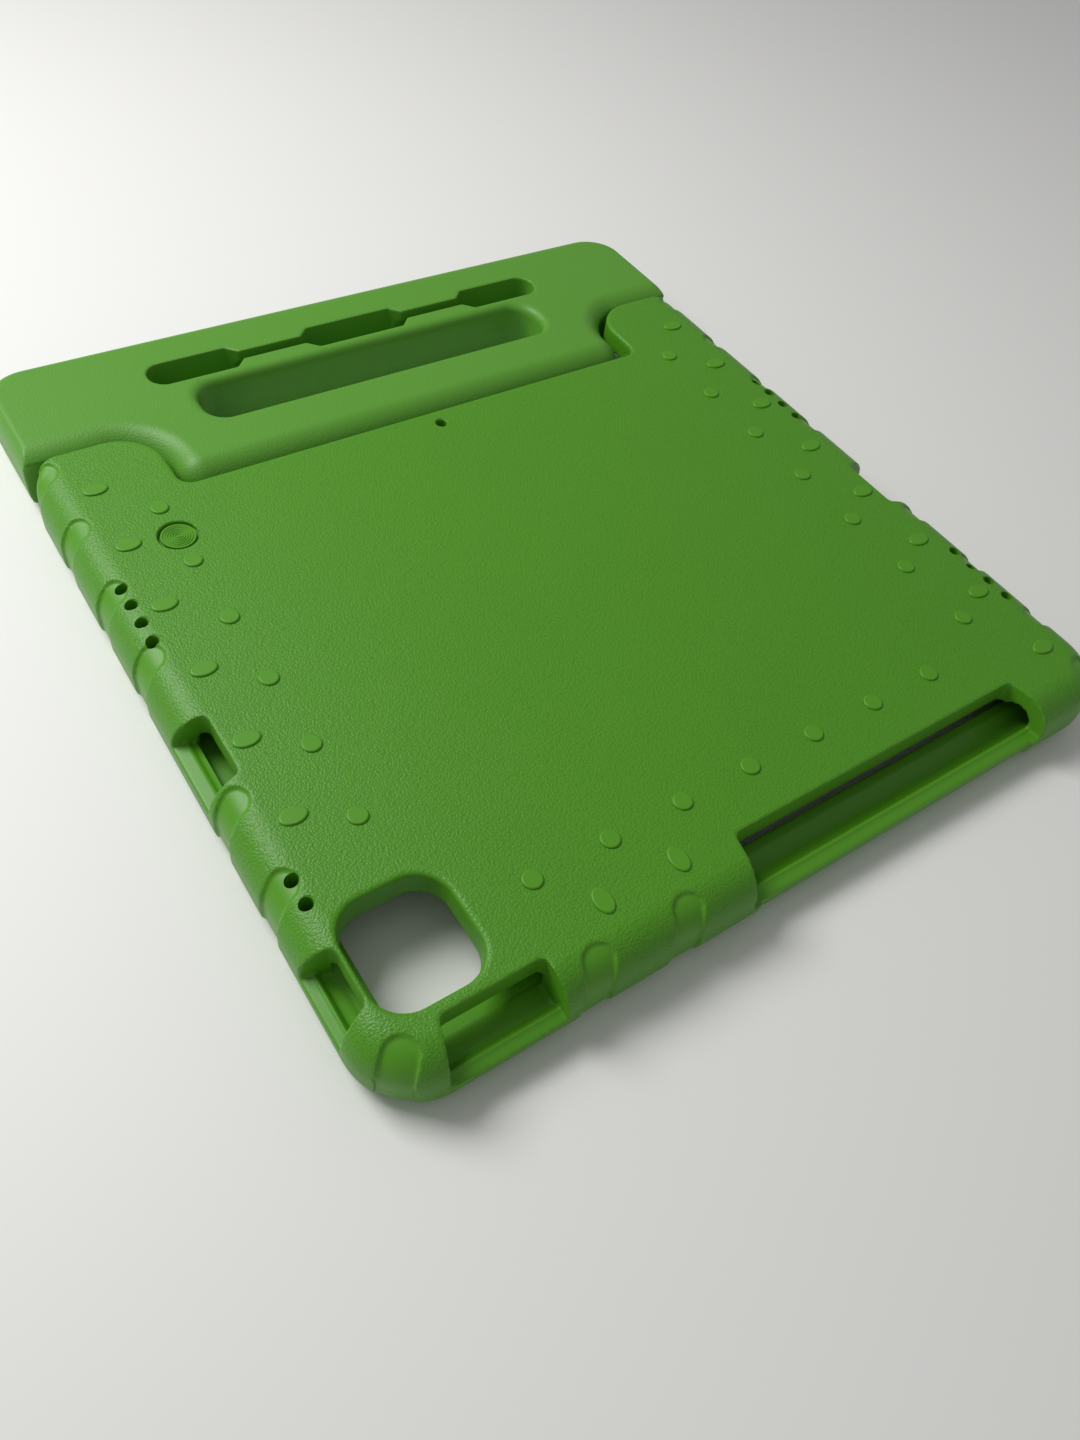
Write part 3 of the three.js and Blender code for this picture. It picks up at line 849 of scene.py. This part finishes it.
    def scallops(self) -> Form:
        """Makes the cutter for the sunk bands in the rounded edges.

        Returns:
            The bands, less all that lies deeper than they reach.
        """
        size = self.sizes
        half = self.scallop_width / 2
        height = size.thickness + 2 * size.through
        band = Form.plate("band", (-half, -self.scallop_reach), (half, 0), -size.through)
        band.split((0, -half, 0), (0, 1, 0))
        mouth: Test = lambda p: p.y < -self.scallop_reach + NEAR
        band.round_corners(both_sides(half, 0), half - NEAR, self.scallop_steps)
        upright = band.copy((0, 0, 0))
        leaning = {}
        for lean in (-self.scallop_lean, self.scallop_lean):
            leaning[lean] = band.copy((0, 0, 0))
            leaning[lean].move(mouth, (lean * self.scallop_reach, 0, 0))
        band.discard()
        for form in (upright, *leaning.values()):
            form.fuse()
            form.raise_by(height)
        lean = self.scallop_lean
        inner = self.top_fillet - size.through
        inner_x, middle = size.half_length - inner, size.tablet_centre_y
        one_way, other_way = leaning[lean], leaning[-lean]
        bands = [one_way.copy((-inner_x, middle + place, 0), -QUARTER) for place in self.left_scallops]
        bands += [other_way.copy((inner_x, middle + place, 0), QUARTER) for place in self.right_scallops]
        bands += [other_way.copy((place - size.half_length, inner, 0)) for place in self.pen_scallops]
        reach = (self.corner - inner) * DIAGONAL
        corner_x, corner_y = size.half_length - self.corner + reach, self.corner - reach
        bands += [upright.copy((side * corner_x, corner_y, 0), side * QUARTER / 2) for side in (-1, 1)]
        set_back_start = (self.pen_cut_x - self.pen_cut_half, -self.pen_shelf, -size.through)
        set_back_end = (self.pen_cut_x + self.pen_cut_half, self.pen_shelf, height - size.through)
        bands.append(Form.block("set_back", set_back_start, set_back_end))
        for form in (upright, *leaning.values()):
            form.discard()
        cutter = Form.joined(bands)
        cutter.combine(Joining.CUT, self.blank(self.scallop_depth))
        return cutter

    def holes(self) -> Form:
        """Makes the round holes for sound, and the microphone hole.

        Returns:
            One cutter for them all.
        """
        size = self.sizes
        flare = 1 + self.hole_lip / self.hole_radius
        top, above = size.thickness - self.hole_lip, size.thickness + size.through
        mouth = [(top, 1.0), (size.thickness, flare), (above, flare + size.through / self.hole_radius)]
        holes = []

        def hole(x: float, y: float, low: float) -> None:
            """Adds one hole, with a softly widened mouth.

            Args:
                x: Its place along x.
                y: Its place along y.
                low: The height of its lower end.
            """
            form = Form.disc("hole", self.hole_radius, self.hole_sides)
            form.grow([(z, share, share) for z, share in ((low, 1.0), *mouth)], (0, 0))
            holes.append(form.copy((x, y, 0)))
            form.discard()

        for side, offset, count in self.hole_rows:
            for number in range(count):
                y = size.tablet_centre_y + offset + (number - (count - 1) / 2) * self.hole_pitch
                hole(side * (size.half_length - self.hole_inset), y, self.hole_floor)
        hole(0, size.recess_y - self.microphone_from_recess, size.cavity_top - size.through)
        return Form.joined(holes)

    def window(self) -> Form:
        """Makes the cutter for the camera window, with its softly rounded lip.

        Returns:
            The cutter.
        """
        size = self.sizes
        width, height = self.window_size
        left = self.window_from_side - size.half_length - width / 2
        near = self.window_from_pen_face - height / 2
        rings = [(size.cavity_top - size.through, -self.window_draft)]
        rings += lip_rings(size.thickness, self.window_lip, upwards=True)
        rings.append((size.thickness + size.through, self.window_lip))
        return rounded_tower((left, near), (left + width, near + height), self.window_corner, rings)

    def disc(self) -> tuple[Form, Form]:
        """Makes the round sink of the mould insert's mark, and the turned island in it.

        Returns:
            The cutter for the sink, and the island that is added to its floor.
        """
        size = self.sizes
        x, y = self.disc_from_side - size.half_length, size.recess_y - self.disc_from_recess
        floor = size.thickness - self.disc_depth
        sink = Form.disc("sink", self.disc_radius, self.disc_sides)
        mouth = 1 + 2 * self.disc_lip / self.disc_radius
        straight, above = size.thickness - self.disc_lip, size.thickness + self.disc_lip
        sink.grow([(floor, 1, 1), (straight, 1, 1), (above, mouth, mouth)], (0, 0))
        radius = self.disc_radius - self.disc_moat
        top = floor + self.disc_rise
        rings = [(floor - size.through, 1.0), (top, 1.0)]
        pitch = 1 / (self.disc_rings + 1)
        for number in range(1, self.disc_rings + 1):
            share = 1 - number * pitch
            rings += [
                (top, share + self.ring_share * pitch),
                (top - self.ring_depth, share),
                (top, share - self.ring_share * pitch),
            ]
        island = Form.disc("island", radius, self.disc_sides)
        island.grow([(z, share, share) for z, share in rings], (0, 0))
        placed = tuple(form.copy((x, y, 0)) for form in (sink, island))
        for form in (sink, island):
            form.discard()
        return placed

    def tablet_place(self) -> list[Form]:
        """Makes the cutters for the tablet's place and for the screen opening.

        Returns:
            The two cutters.
        """
        size = self.sizes
        middle = size.tablet_centre_y

        def outline(length: float, width: float) -> tuple[tuple[float, float], tuple[float, float]]:
            """Gives the two plan corners of a rectangle round the middle of the tablet."""
            return (-length / 2, middle - width / 2), (length / 2, middle + width / 2)

        place = outline(size.cavity_length, size.cavity_width)
        lap = 2 * self.bezel_overlap
        screen = outline(size.tablet_length - lap, size.tablet_width - lap)
        flare = self.screen_chamfer + size.through
        rings = [(-size.through, flare), (self.screen_chamfer, 0), (size.cavity_floor + size.through, 0)]
        return [
            rounded_tower(*place, size.tablet_corner, [(size.cavity_floor, 0), (size.cavity_top, 0)]),
            rounded_tower(*screen, self.screen_corner, rings),
        ]

    def pen_channel(self) -> Form:
        """Makes the cutter for the round channel that the pen lies in.

        Returns:
            The cutter.
        """
        left, right = self.pen_bores
        radius = self.pen_channel_radius
        end_x = self.pen_cut_x - self.pen_cut_half - left
        start = (end_x, self.pen_shelf + radius, self.pen_channel_height)
        return Form.rod("channel", radius, start, 2 * self.pen_cut_half + left + right, along_x=True)

    def build(self) -> bpy.types.Object:
        """Builds the whole shell.

        Returns:
            The finished piece, before its material.
        """
        ceiling = self.sizes.thickness + self.sizes.through
        form = self.blank()
        moulded = form.surface()
        form.combine(Joining.CUT, self.scallops(), *self.tablet_place(), self.window())
        form.combine(Joining.CUT, *(cut_out.cutter(ceiling) for cut_out in self.cut_outs))
        form.combine(Joining.CUT, self.pen_channel(), self.sizes.pin_bores())
        form.soften(self.voxel, self.passes, self.triangles)
        sink, island = self.disc()
        form.combine(Joining.CUT, sink, self.holes())
        form.combine(Joining.ADD, island, self.dots())
        form.mark_grain(moulded, self.grain_reach)
        return form.settle("foam_shell")


@dataclass
class Handle:
    """The moulded foam handle: a tongue between the horns, and a wide grip beyond them."""

    sizes: CaseSizes
    reach: float = 57.0
    inset: float = 0.9
    far_corner: float = 18.0
    heel_corner: float = 3.0
    side_fillet: float = 4.0
    far_fillet: float = 6.0
    near_fillet: float = 9.8
    tip_set_back: float = 2.2
    side_set_back: float = 1.0
    grip_length: float = 156.4
    grip_width: float = 23.3
    grip_corner: float = 10.0
    grip_lip: float = 3.6
    grip_near_share: float = 0.28
    grip_from_heel: float = 5.0
    pocket_width: float = 13.8
    neck_width: float = 4.8
    neck_start: float = 24.0
    neck_end: float = 51.5
    neck_slope: float = 4.5
    pen_bore: float = 9.6
    pen_bore_depth: float = 9.0
    pen_line_from_grip: float = 11.8
    pen_slot_length: float = 181.2
    overrun: float = 30.0
    room_sides: int = 96
    tip_corner: float = 10.6
    flatness: float = 0.46
    skin: float = 0.02
    voxel: float = 0.55
    passes: int = 4
    triangles: int = 130_000
    grain_reach: float = 0.3

    @property
    def far_y(self) -> float:
        """The far edge of the handle."""
        return self.sizes.heel_y + self.reach

    @property
    def half(self) -> float:
        """Half of the handle's length."""
        return self.sizes.half_length - self.inset

    @property
    def tip_y(self) -> float:
        """The tongue's tip."""
        return self.sizes.recess_y + self.sizes.handle_gap + self.tip_set_back

    @property
    def tongue_half(self) -> float:
        """Half of the tongue's width."""
        return self.sizes.recess_half - self.sizes.handle_gap - self.side_set_back

    @property
    def grip_near_y(self) -> float:
        """The near side of the grip opening."""
        return self.sizes.heel_y - self.grip_from_heel

    @property
    def pen_line_y(self) -> float:
        """The middle of the pen slot."""
        return self.grip_near_y + self.grip_width + self.pen_line_from_grip

    def tongue_plan(self, half: float, far_y: float, grown: float) -> Form:
        """Makes the flat outline of the tongue and the grip.

        Args:
            half: Half of the grip's length.
            far_y: Its far edge.
            grown: How far the outline is moved outwards elsewhere.

        Returns:
            The outline, as one flat face with sharp corners.
        """
        heel, tip = self.sizes.heel_y - grown, self.tip_y - grown
        tongue = self.tongue_half + grown
        form = Form.plate("handle", (-half, heel), (half, far_y))
        form.split((-tongue, 0, 0), (1, 0, 0))
        form.split((tongue, 0, 0), (1, 0, 0))
        root: Test = lambda p: p.y < heel + NEAR and abs(p.x) < tongue - NEAR
        form.extrude(Pick.EDGES, root, (0, tip - heel, 0))
        form.fuse()
        return form

    def blank(self) -> Form:
        """Makes the handle before anything is cut from it.

        Returns:
            The blank: widely rounded towards the shell, and less on its other edges.
        """
        size = self.sizes
        top, heel = size.thickness, size.heel_y
        form = self.tongue_plan(self.half, self.far_y, 0)
        inner_corner = size.horn_inner_corner + size.handle_gap
        form.round_corners(both_sides(self.tongue_half, heel), inner_corner, WIDE_STEPS)
        form.round_corners(both_sides(self.half, self.far_y), self.far_corner, WIDE_STEPS)
        form.round_corners(both_sides(self.tongue_half, self.tip_y), self.tip_corner, WIDE_STEPS)
        form.raise_by(top)
        arc_x, arc_y = self.half - self.far_corner, self.far_y - self.far_corner

        def radius_at(point: Vector) -> float:
            """Gives the radius of an edge: wide towards the shell, smaller on the others.

            Args:
                point: The middle of the edge.

            Returns:
                Its radius, or 0 for an upright edge.
            """
            if NEAR < point.z < top - NEAR:
                return 0.0
            if point.y < heel + NEAR:
                return self.near_fillet
            across, along = max(abs(point.x) - arc_x, 0), max(point.y - arc_y, 0)
            share = math.atan2(along, across) / QUARTER
            return self.side_fillet + (self.far_fillet - self.side_fillet) * share

        form.fillet(radius_at, self.near_fillet, CORNER_STEPS, self.flatness)

        plan = self.tongue_plan(self.half + self.skin, self.far_y + self.overrun, self.skin)
        foot = heel - self.skin
        plan.round_corners(both_sides(self.half + self.skin, foot), self.heel_corner)
        plan.round_corners(both_sides(self.tongue_half + self.skin, foot), inner_corner, WIDE_STEPS)
        plan.move(lambda _: True, (0, 0, -size.through))
        plan.raise_by(top + 2 * size.through)
        form.combine(Joining.KEEP, plan)
        return form

    def grip(self) -> Form:
        """Makes the cutter for the grip opening, whose lip is tighter on its near side.

        Returns:
            The cutter.
        """
        size = self.sizes
        half = self.grip_length / 2
        low, high = (-half, self.grip_near_y), (half, self.grip_near_y + self.grip_width)
        rings = [(-size.through, self.grip_lip)]
        rings += lip_rings(0, self.grip_lip, upwards=False)
        rings += lip_rings(size.thickness, self.grip_lip, upwards=True)
        rings.append((size.thickness + size.through, self.grip_lip))
        return rounded_tower(low, high, self.grip_corner, rings, self.grip_near_share)

    def pen_slot(self) -> list[Form]:
        """Makes the cutters for the pen slot: three pockets joined by necks, and a round channel.

        Returns:
            The slot and the channel.
        """
        size = self.sizes
        half, pocket, line = self.pen_slot_length / 2, self.pocket_width / 2, self.pen_line_y
        depth = self.pen_bore_depth + self.pen_bore / 2
        slot = Form.plate("slot", (-half, line - pocket), (half, line + pocket), size.thickness - depth)
        start, end, slope = self.neck_start, self.neck_end, self.neck_slope
        for place in (start - slope, start, end, end + slope):
            slot.split((-place, 0, 0), (1, 0, 0))
            slot.split((place, 0, 0), (1, 0, 0))
        narrow: Test = lambda p: start - NEAR < abs(p.x) < end + NEAR
        slot.stretch(narrow, (1, self.neck_width / self.pocket_width, 1), (0, line, 0))
        slot.fuse()
        slot.round_corners(at((-half, line - pocket), (-half, line + pocket)), pocket - NEAR)
        slot.round_corners(at((half, line - pocket), (half, line + pocket)), pocket - NEAR)
        slot.raise_by(depth + size.through)
        radius = self.pen_bore / 2
        first = (-half + radius, line, size.thickness - self.pen_bore_depth)
        channel = Form.rod("channel", radius, first, self.pen_slot_length - self.pen_bore, along_x=True)
        return [slot, channel]

    def horn_room(self, side: int) -> Form:
        """Makes the cutter for the room that a horn needs while the handle folds.

        Args:
            side: -1 for the left horn and 1 for the right one.

        Returns:
            The horn's outline turned round the pivot axis, with the handle's gap.
        """
        size = self.sizes
        corner, middle = size.horn_inner_corner, size.thickness / 2
        straight = size.horn_top_y - corner - size.pivot_y
        angles = [QUARTER * step / SMALL_STEPS for step in range(SMALL_STEPS + 1)]
        reaches = [math.hypot(straight + corner * math.sin(a), middle) + size.handle_gap for a in angles]
        profile = [(corner * (1 - math.cos(a)), reach) for a, reach in zip(angles, reaches)]
        profile.append((size.horn_width + self.overrun, profile[-1][1]))
        first = profile[0][1]
        form = Form.disc("horn_room", first, self.room_sides)
        form.grow([(place, radius / first, radius / first) for place, radius in profile], (0, 0))
        start = size.recess_half - size.handle_gap
        form.thing.rotation_euler = (0, side * QUARTER, 0)
        form.thing.location = (side * start, size.pivot_y, middle)
        form.alone()
        bpy.ops.object.transform_apply(location=True, rotation=True, scale=True)
        return form

    def build(self) -> bpy.types.Object:
        """Builds the whole handle.

        Returns:
            The finished piece, before its material.
        """
        form = self.blank()
        moulded = form.surface()
        form.combine(Joining.CUT, self.grip(), *self.pen_slot())
        form.combine(Joining.CUT, self.horn_room(-1), self.horn_room(1), self.sizes.pin_bores())
        form.soften(self.voxel, self.passes, self.triangles)
        form.mark_grain(moulded, self.grain_reach)
        return form.settle("foam_handle")


class Value:
    """A socket in a shader tree, so that node maths reads as Python."""

    def __init__(self, shader: "Shader", socket: bpy.types.NodeSocket) -> None:
        """Takes the tree and one of its output sockets."""
        self.shader = shader
        self.socket = socket

    def maths(self, operation: str, first: "Value | float", second: "Value | float") -> "Value":
        """Adds one Math node and gives its result."""
        return self.shader.node("ShaderNodeMath", {"operation": operation}, {0: first, 1: second})

    def __add__(self, other: "Value | float") -> "Value":
        """Adds."""
        return self.maths("ADD", self, other)

    def __radd__(self, other: float) -> "Value":
        """Adds to a number."""
        return self.maths("ADD", other, self)

    def __sub__(self, other: "Value | float") -> "Value":
        """Subtracts."""
        return self.maths("SUBTRACT", self, other)

    def __rsub__(self, other: float) -> "Value":
        """Subtracts from a number."""
        return self.maths("SUBTRACT", other, self)

    def __mul__(self, other: "Value | float") -> "Value":
        """Multiplies."""
        return self.maths("MULTIPLY", self, other)

    def __rmul__(self, other: float) -> "Value":
        """Multiplies a number."""
        return self.maths("MULTIPLY", other, self)


class Shader:
    """A material's node tree, with one method that adds any node."""

    def __init__(self, name: str) -> None:
        """Makes the material, with its one surface shader."""
        self.material = bpy.data.materials.new(name)
        self.material.use_nodes = True
        self.tree = self.material.node_tree
        self.surface = self.tree.nodes["Principled BSDF"]

    def connect(self, node: bpy.types.Node, key: int | str, given: object) -> None:
        """Sets one input of a node, or links it.

        Args:
            node: The node.
            key: The input's name or number.
            given: A number or colour, or the Value that feeds it.
        """
        if isinstance(given, Value):
            self.tree.links.new(given.socket, node.inputs[key])
        else:
            node.inputs[key].default_value = given

    def node(
        self,
        kind: str,
        settings: dict[str, object] | None = None,
        inputs: dict[int | str, object] | None = None,
        output: int | str = 0,
    ) -> Value:
        """Adds a node.

        Args:
            kind: The node's type.
            settings: Its own settings, which are set first.
            inputs: The value or link of each socket, by name or number.
            output: The output that is wanted.

        Returns:
            That output.
        """
        node = self.tree.nodes.new(kind)
        for name, value in (settings or {}).items():
            setattr(node, name, value)
        for key, given in (inputs or {}).items():
            self.connect(node, key, given)
        return Value(self, node.outputs[output])

    def mix(self, share: Value, first: Colour, second: Colour) -> Value:
        """Mixes two colours."""
        return self.node("ShaderNodeMix", {"data_type": "RGBA"}, {0: share, 6: first, 7: second}, 2)

    def set(self, **inputs: object) -> None:
        """Sets or links inputs of the surface shader, with underscores for the spaces in names."""
        for name, given in inputs.items():
            self.connect(self.surface, name.replace("_", " "), given)


@dataclass(frozen=True)
class FoamFinish:
    """Closed-cell foam: a moulded leather grain with painted shade in its creases, fine skin texture and
    slight mottling.
    """

    name: str
    colour: Colour
    # The darker colour that the base colour mixes towards: painted shade in the grain's creases, and random
    # mottling.
    shade: Colour
    roughness: float
    grain_cell: float
    grain_depth: float
    # Painted shade: how far the grain's creases are darkened towards the darker colour.
    painted_crease_shade: float
    pebble_softness: float = 0.35
    skin_cell: float = 0.35
    skin_share: float = 0.25
    skin_detail: float = 2.0
    gloss_change: float = 0.12
    mottle: float = 0.10
    mottle_size: float = 38.0
    mottle_detail: float = 3.0
    refraction: float = 1.45

    def material(self) -> bpy.types.Material:
        """Builds the finish.

        Returns:
            The material.
        """
        shader = Shader(self.name)
        place = shader.node("ShaderNodeTexCoord", output="Object")
        marked = shader.node("ShaderNodeAttribute", {"attribute_name": "grain"}, output="Fac")
        pebbles = shader.node(
            "ShaderNodeTexVoronoi",
            {"feature": "SMOOTH_F1"},
            {
                "Vector": place,
                "Scale": 1 / (self.grain_cell * MILLIMETRE),
                "Smoothness": self.pebble_softness,
            },
        )
        skin = shader.node(
            "ShaderNodeTexNoise",
            inputs={
                "Vector": place,
                "Scale": 1 / (self.skin_cell * MILLIMETRE),
                "Detail": self.skin_detail,
            },
        )
        clouds = shader.node(
            "ShaderNodeTexNoise",
            inputs={
                "Vector": place,
                "Scale": 1 / (self.mottle_size * MILLIMETRE),
                "Detail": self.mottle_detail,
            },
        )
        height = marked * (1 - pebbles) + self.skin_share * skin
        bump = shader.node(
            "ShaderNodeBump",
            inputs={"Distance": self.grain_depth * MILLIMETRE, "Height": height},
        )
        # Painted shade darkens the grain's creases, and the clouds add random mottling.
        share = self.painted_crease_shade * marked * pebbles + self.mottle * clouds
        shader.set(
            Base_Color=shader.mix(share, self.colour, self.shade),
            Roughness=self.roughness + self.gloss_change * (skin - NOISE_MEAN),
            Normal=bump,
            IOR=self.refraction,
        )
        return shader.material


@dataclass(frozen=True)
class PinFinish:
    """Plain grey plastic with fine specks."""

    colour: Colour = (0.22, 0.24, 0.25, 1.0)
    shade: Colour = (0.16, 0.17, 0.18, 1.0)
    roughness: float = 0.42
    gloss_change: float = 0.1
    speck: float = 0.6
    speck_detail: float = 2.0

    def material(self) -> bpy.types.Material:
        """Builds the finish.

        Returns:
            The material.
        """
        shader = Shader("pin_plastic")
        place = shader.node("ShaderNodeTexCoord", output="Object")
        specks = shader.node(
            "ShaderNodeTexNoise",
            inputs={"Vector": place, "Scale": 1 / (self.speck * MILLIMETRE), "Detail": self.speck_detail},
        )
        shader.set(
            Base_Color=shader.mix(specks, self.colour, self.shade),
            Roughness=self.roughness + self.gloss_change * (specks - NOISE_MEAN),
        )
        return shader.material


@dataclass(frozen=True)
class Table:
    """The plain pale surface that the case lies on."""

    size: float = 6.0
    colour: Colour = (0.90, 0.895, 0.87, 1.0)
    roughness: float = 0.55

    def build(self) -> None:
        bpy.ops.object.select_all(action="DESELECT")
        bpy.ops.mesh.primitive_plane_add(size=self.size)
        table = bpy.context.active_object
        table.name = "table"
        shader = Shader("pale_table")
        shader.set(Base_Color=self.colour, Roughness=self.roughness)
        table.data.materials.append(shader.material)


@dataclass(frozen=True)
class StudioLight:
    """One soft light on the left beyond the handle, and an even pale surround."""

    place: tuple[float, float, float] = (-0.42, 0.5, 0.78)
    size: float = 0.5
    power: float = 8.0
    surround: float = 0.27
    seen: Colour = (0.60, 0.60, 0.59, 1.0)

    def build(self) -> None:
        """Adds the light and the surround."""
        lamp = bpy.data.lights.new("window_light", "AREA")
        lamp.size = self.size
        lamp.energy = self.power
        light = bpy.data.objects.new("window_light", lamp)
        light.location = self.place
        light.rotation_mode = "QUATERNION"
        light.rotation_quaternion = (-Vector(self.place)).to_track_quat("-Z", "Y")
        bpy.context.collection.objects.link(light)
        world = bpy.data.worlds.new("surround")
        bpy.context.scene.world = world
        world.use_nodes = True
        nodes, links = world.node_tree.nodes, world.node_tree.links
        light_path = nodes.new("ShaderNodeLightPath")
        lit = nodes["Background"]
        lit.inputs["Color"].default_value = WHITE
        lit.inputs["Strength"].default_value = self.surround
        shown = nodes.new("ShaderNodeBackground")
        shown.inputs["Color"].default_value = self.seen
        choice = nodes.new("ShaderNodeMixShader")
        links.new(light_path.outputs["Is Camera Ray"], choice.inputs[0])
        links.new(lit.outputs[0], choice.inputs[1])
        links.new(shown.outputs[0], choice.inputs[2])
        links.new(choice.outputs[0], nodes["World Output"].inputs["Surface"])


@dataclass(frozen=True)
class PhotoCamera:
    """The camera of the photograph, worked out from the straight edges of the shell."""

    place: tuple[float, float, float] = (-0.1961, -0.2437, 0.2951)
    azimuth: float = -42.05
    elevation: float = 50.91
    roll: float = 10.84
    focal_pixels: float = 1106.0
    long_side_pixels: float = 1440.0
    sensor: float = 36.0
    nearest: float = 0.01

    def build(self) -> None:
        """Adds the camera and makes it the scene's own."""
        lens = bpy.data.cameras.new("photo_camera")
        lens.sensor_width = self.sensor
        lens.lens = self.focal_pixels * self.sensor / self.long_side_pixels
        lens.clip_start = self.nearest
        camera = bpy.data.objects.new("photo_camera", lens)
        around, up = math.radians(self.azimuth), math.radians(self.elevation)
        back = Vector((math.sin(around) * math.cos(up), -math.cos(around) * math.cos(up), math.sin(up)))
        camera.location = self.place
        camera.rotation_mode = "QUATERNION"
        roll = Quaternion((0, 0, 1), math.radians(self.roll))
        camera.rotation_quaternion = (-back).to_track_quat("-Z", "Y") @ roll
        bpy.context.collection.objects.link(camera)
        bpy.context.scene.camera = camera


SHELL_FINISH = FoamFinish(
    name="grained_foam",
    colour=(0.093, 0.33, 0.012, 1.0),
    shade=(0.035, 0.17, 0.004, 1.0),
    roughness=0.42,
    grain_cell=0.7,
    grain_depth=0.15,
    # Painted shade in the grain's creases.
    painted_crease_shade=0.35,
)
HANDLE_FINISH = FoamFinish(
    name="smooth_foam",
    colour=(0.11, 0.34, 0.03, 1.0),
    shade=(0.06, 0.22, 0.012, 1.0),
    roughness=0.46,
    grain_cell=0.7,
    grain_depth=0.08,
    # Painted shade in the grain's creases.
    painted_crease_shade=0.15,
)


def hand_over(piece: bpy.types.Object, finish: FoamFinish, body: str, node: str) -> None:
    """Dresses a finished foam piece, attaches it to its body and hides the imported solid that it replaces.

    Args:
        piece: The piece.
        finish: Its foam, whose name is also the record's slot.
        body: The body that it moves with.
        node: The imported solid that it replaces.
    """
    piece.data.materials.clear()
    piece.data.materials.append(finish.material())
    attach(piece, body)
    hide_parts(node)
    piece.data.calc_loop_triangles()
    log.info("%s: %d triangles", piece.name, len(piece.data.loop_triangles))


def dress_pins() -> None:
    """Gives the two pivot pins their material."""
    material = PinFinish().material()
    for name in ("left_pivot_pin", "right_pivot_pin"):
        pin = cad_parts[name]
        pin.data.materials.clear()
        pin.data.materials.append(material)
        log.info("%s: dressed", name)


def main() -> None:
    """Builds the scene piece by piece."""
    bpy.context.scene.view_settings.view_transform = "Standard"
    sizes = CaseSizes()
    hand_over(Shell(sizes).build(), SHELL_FINISH, "case", "case_body")
    hand_over(Handle(sizes).build(), HANDLE_FINISH, "handle", "handle")
    dress_pins()
    Table().build()
    StudioLight().build()
    PhotoCamera().build()


if __name__ == "__main__":
    logging.basicConfig(level=logging.INFO, format="%(name)s %(message)s")
    main()
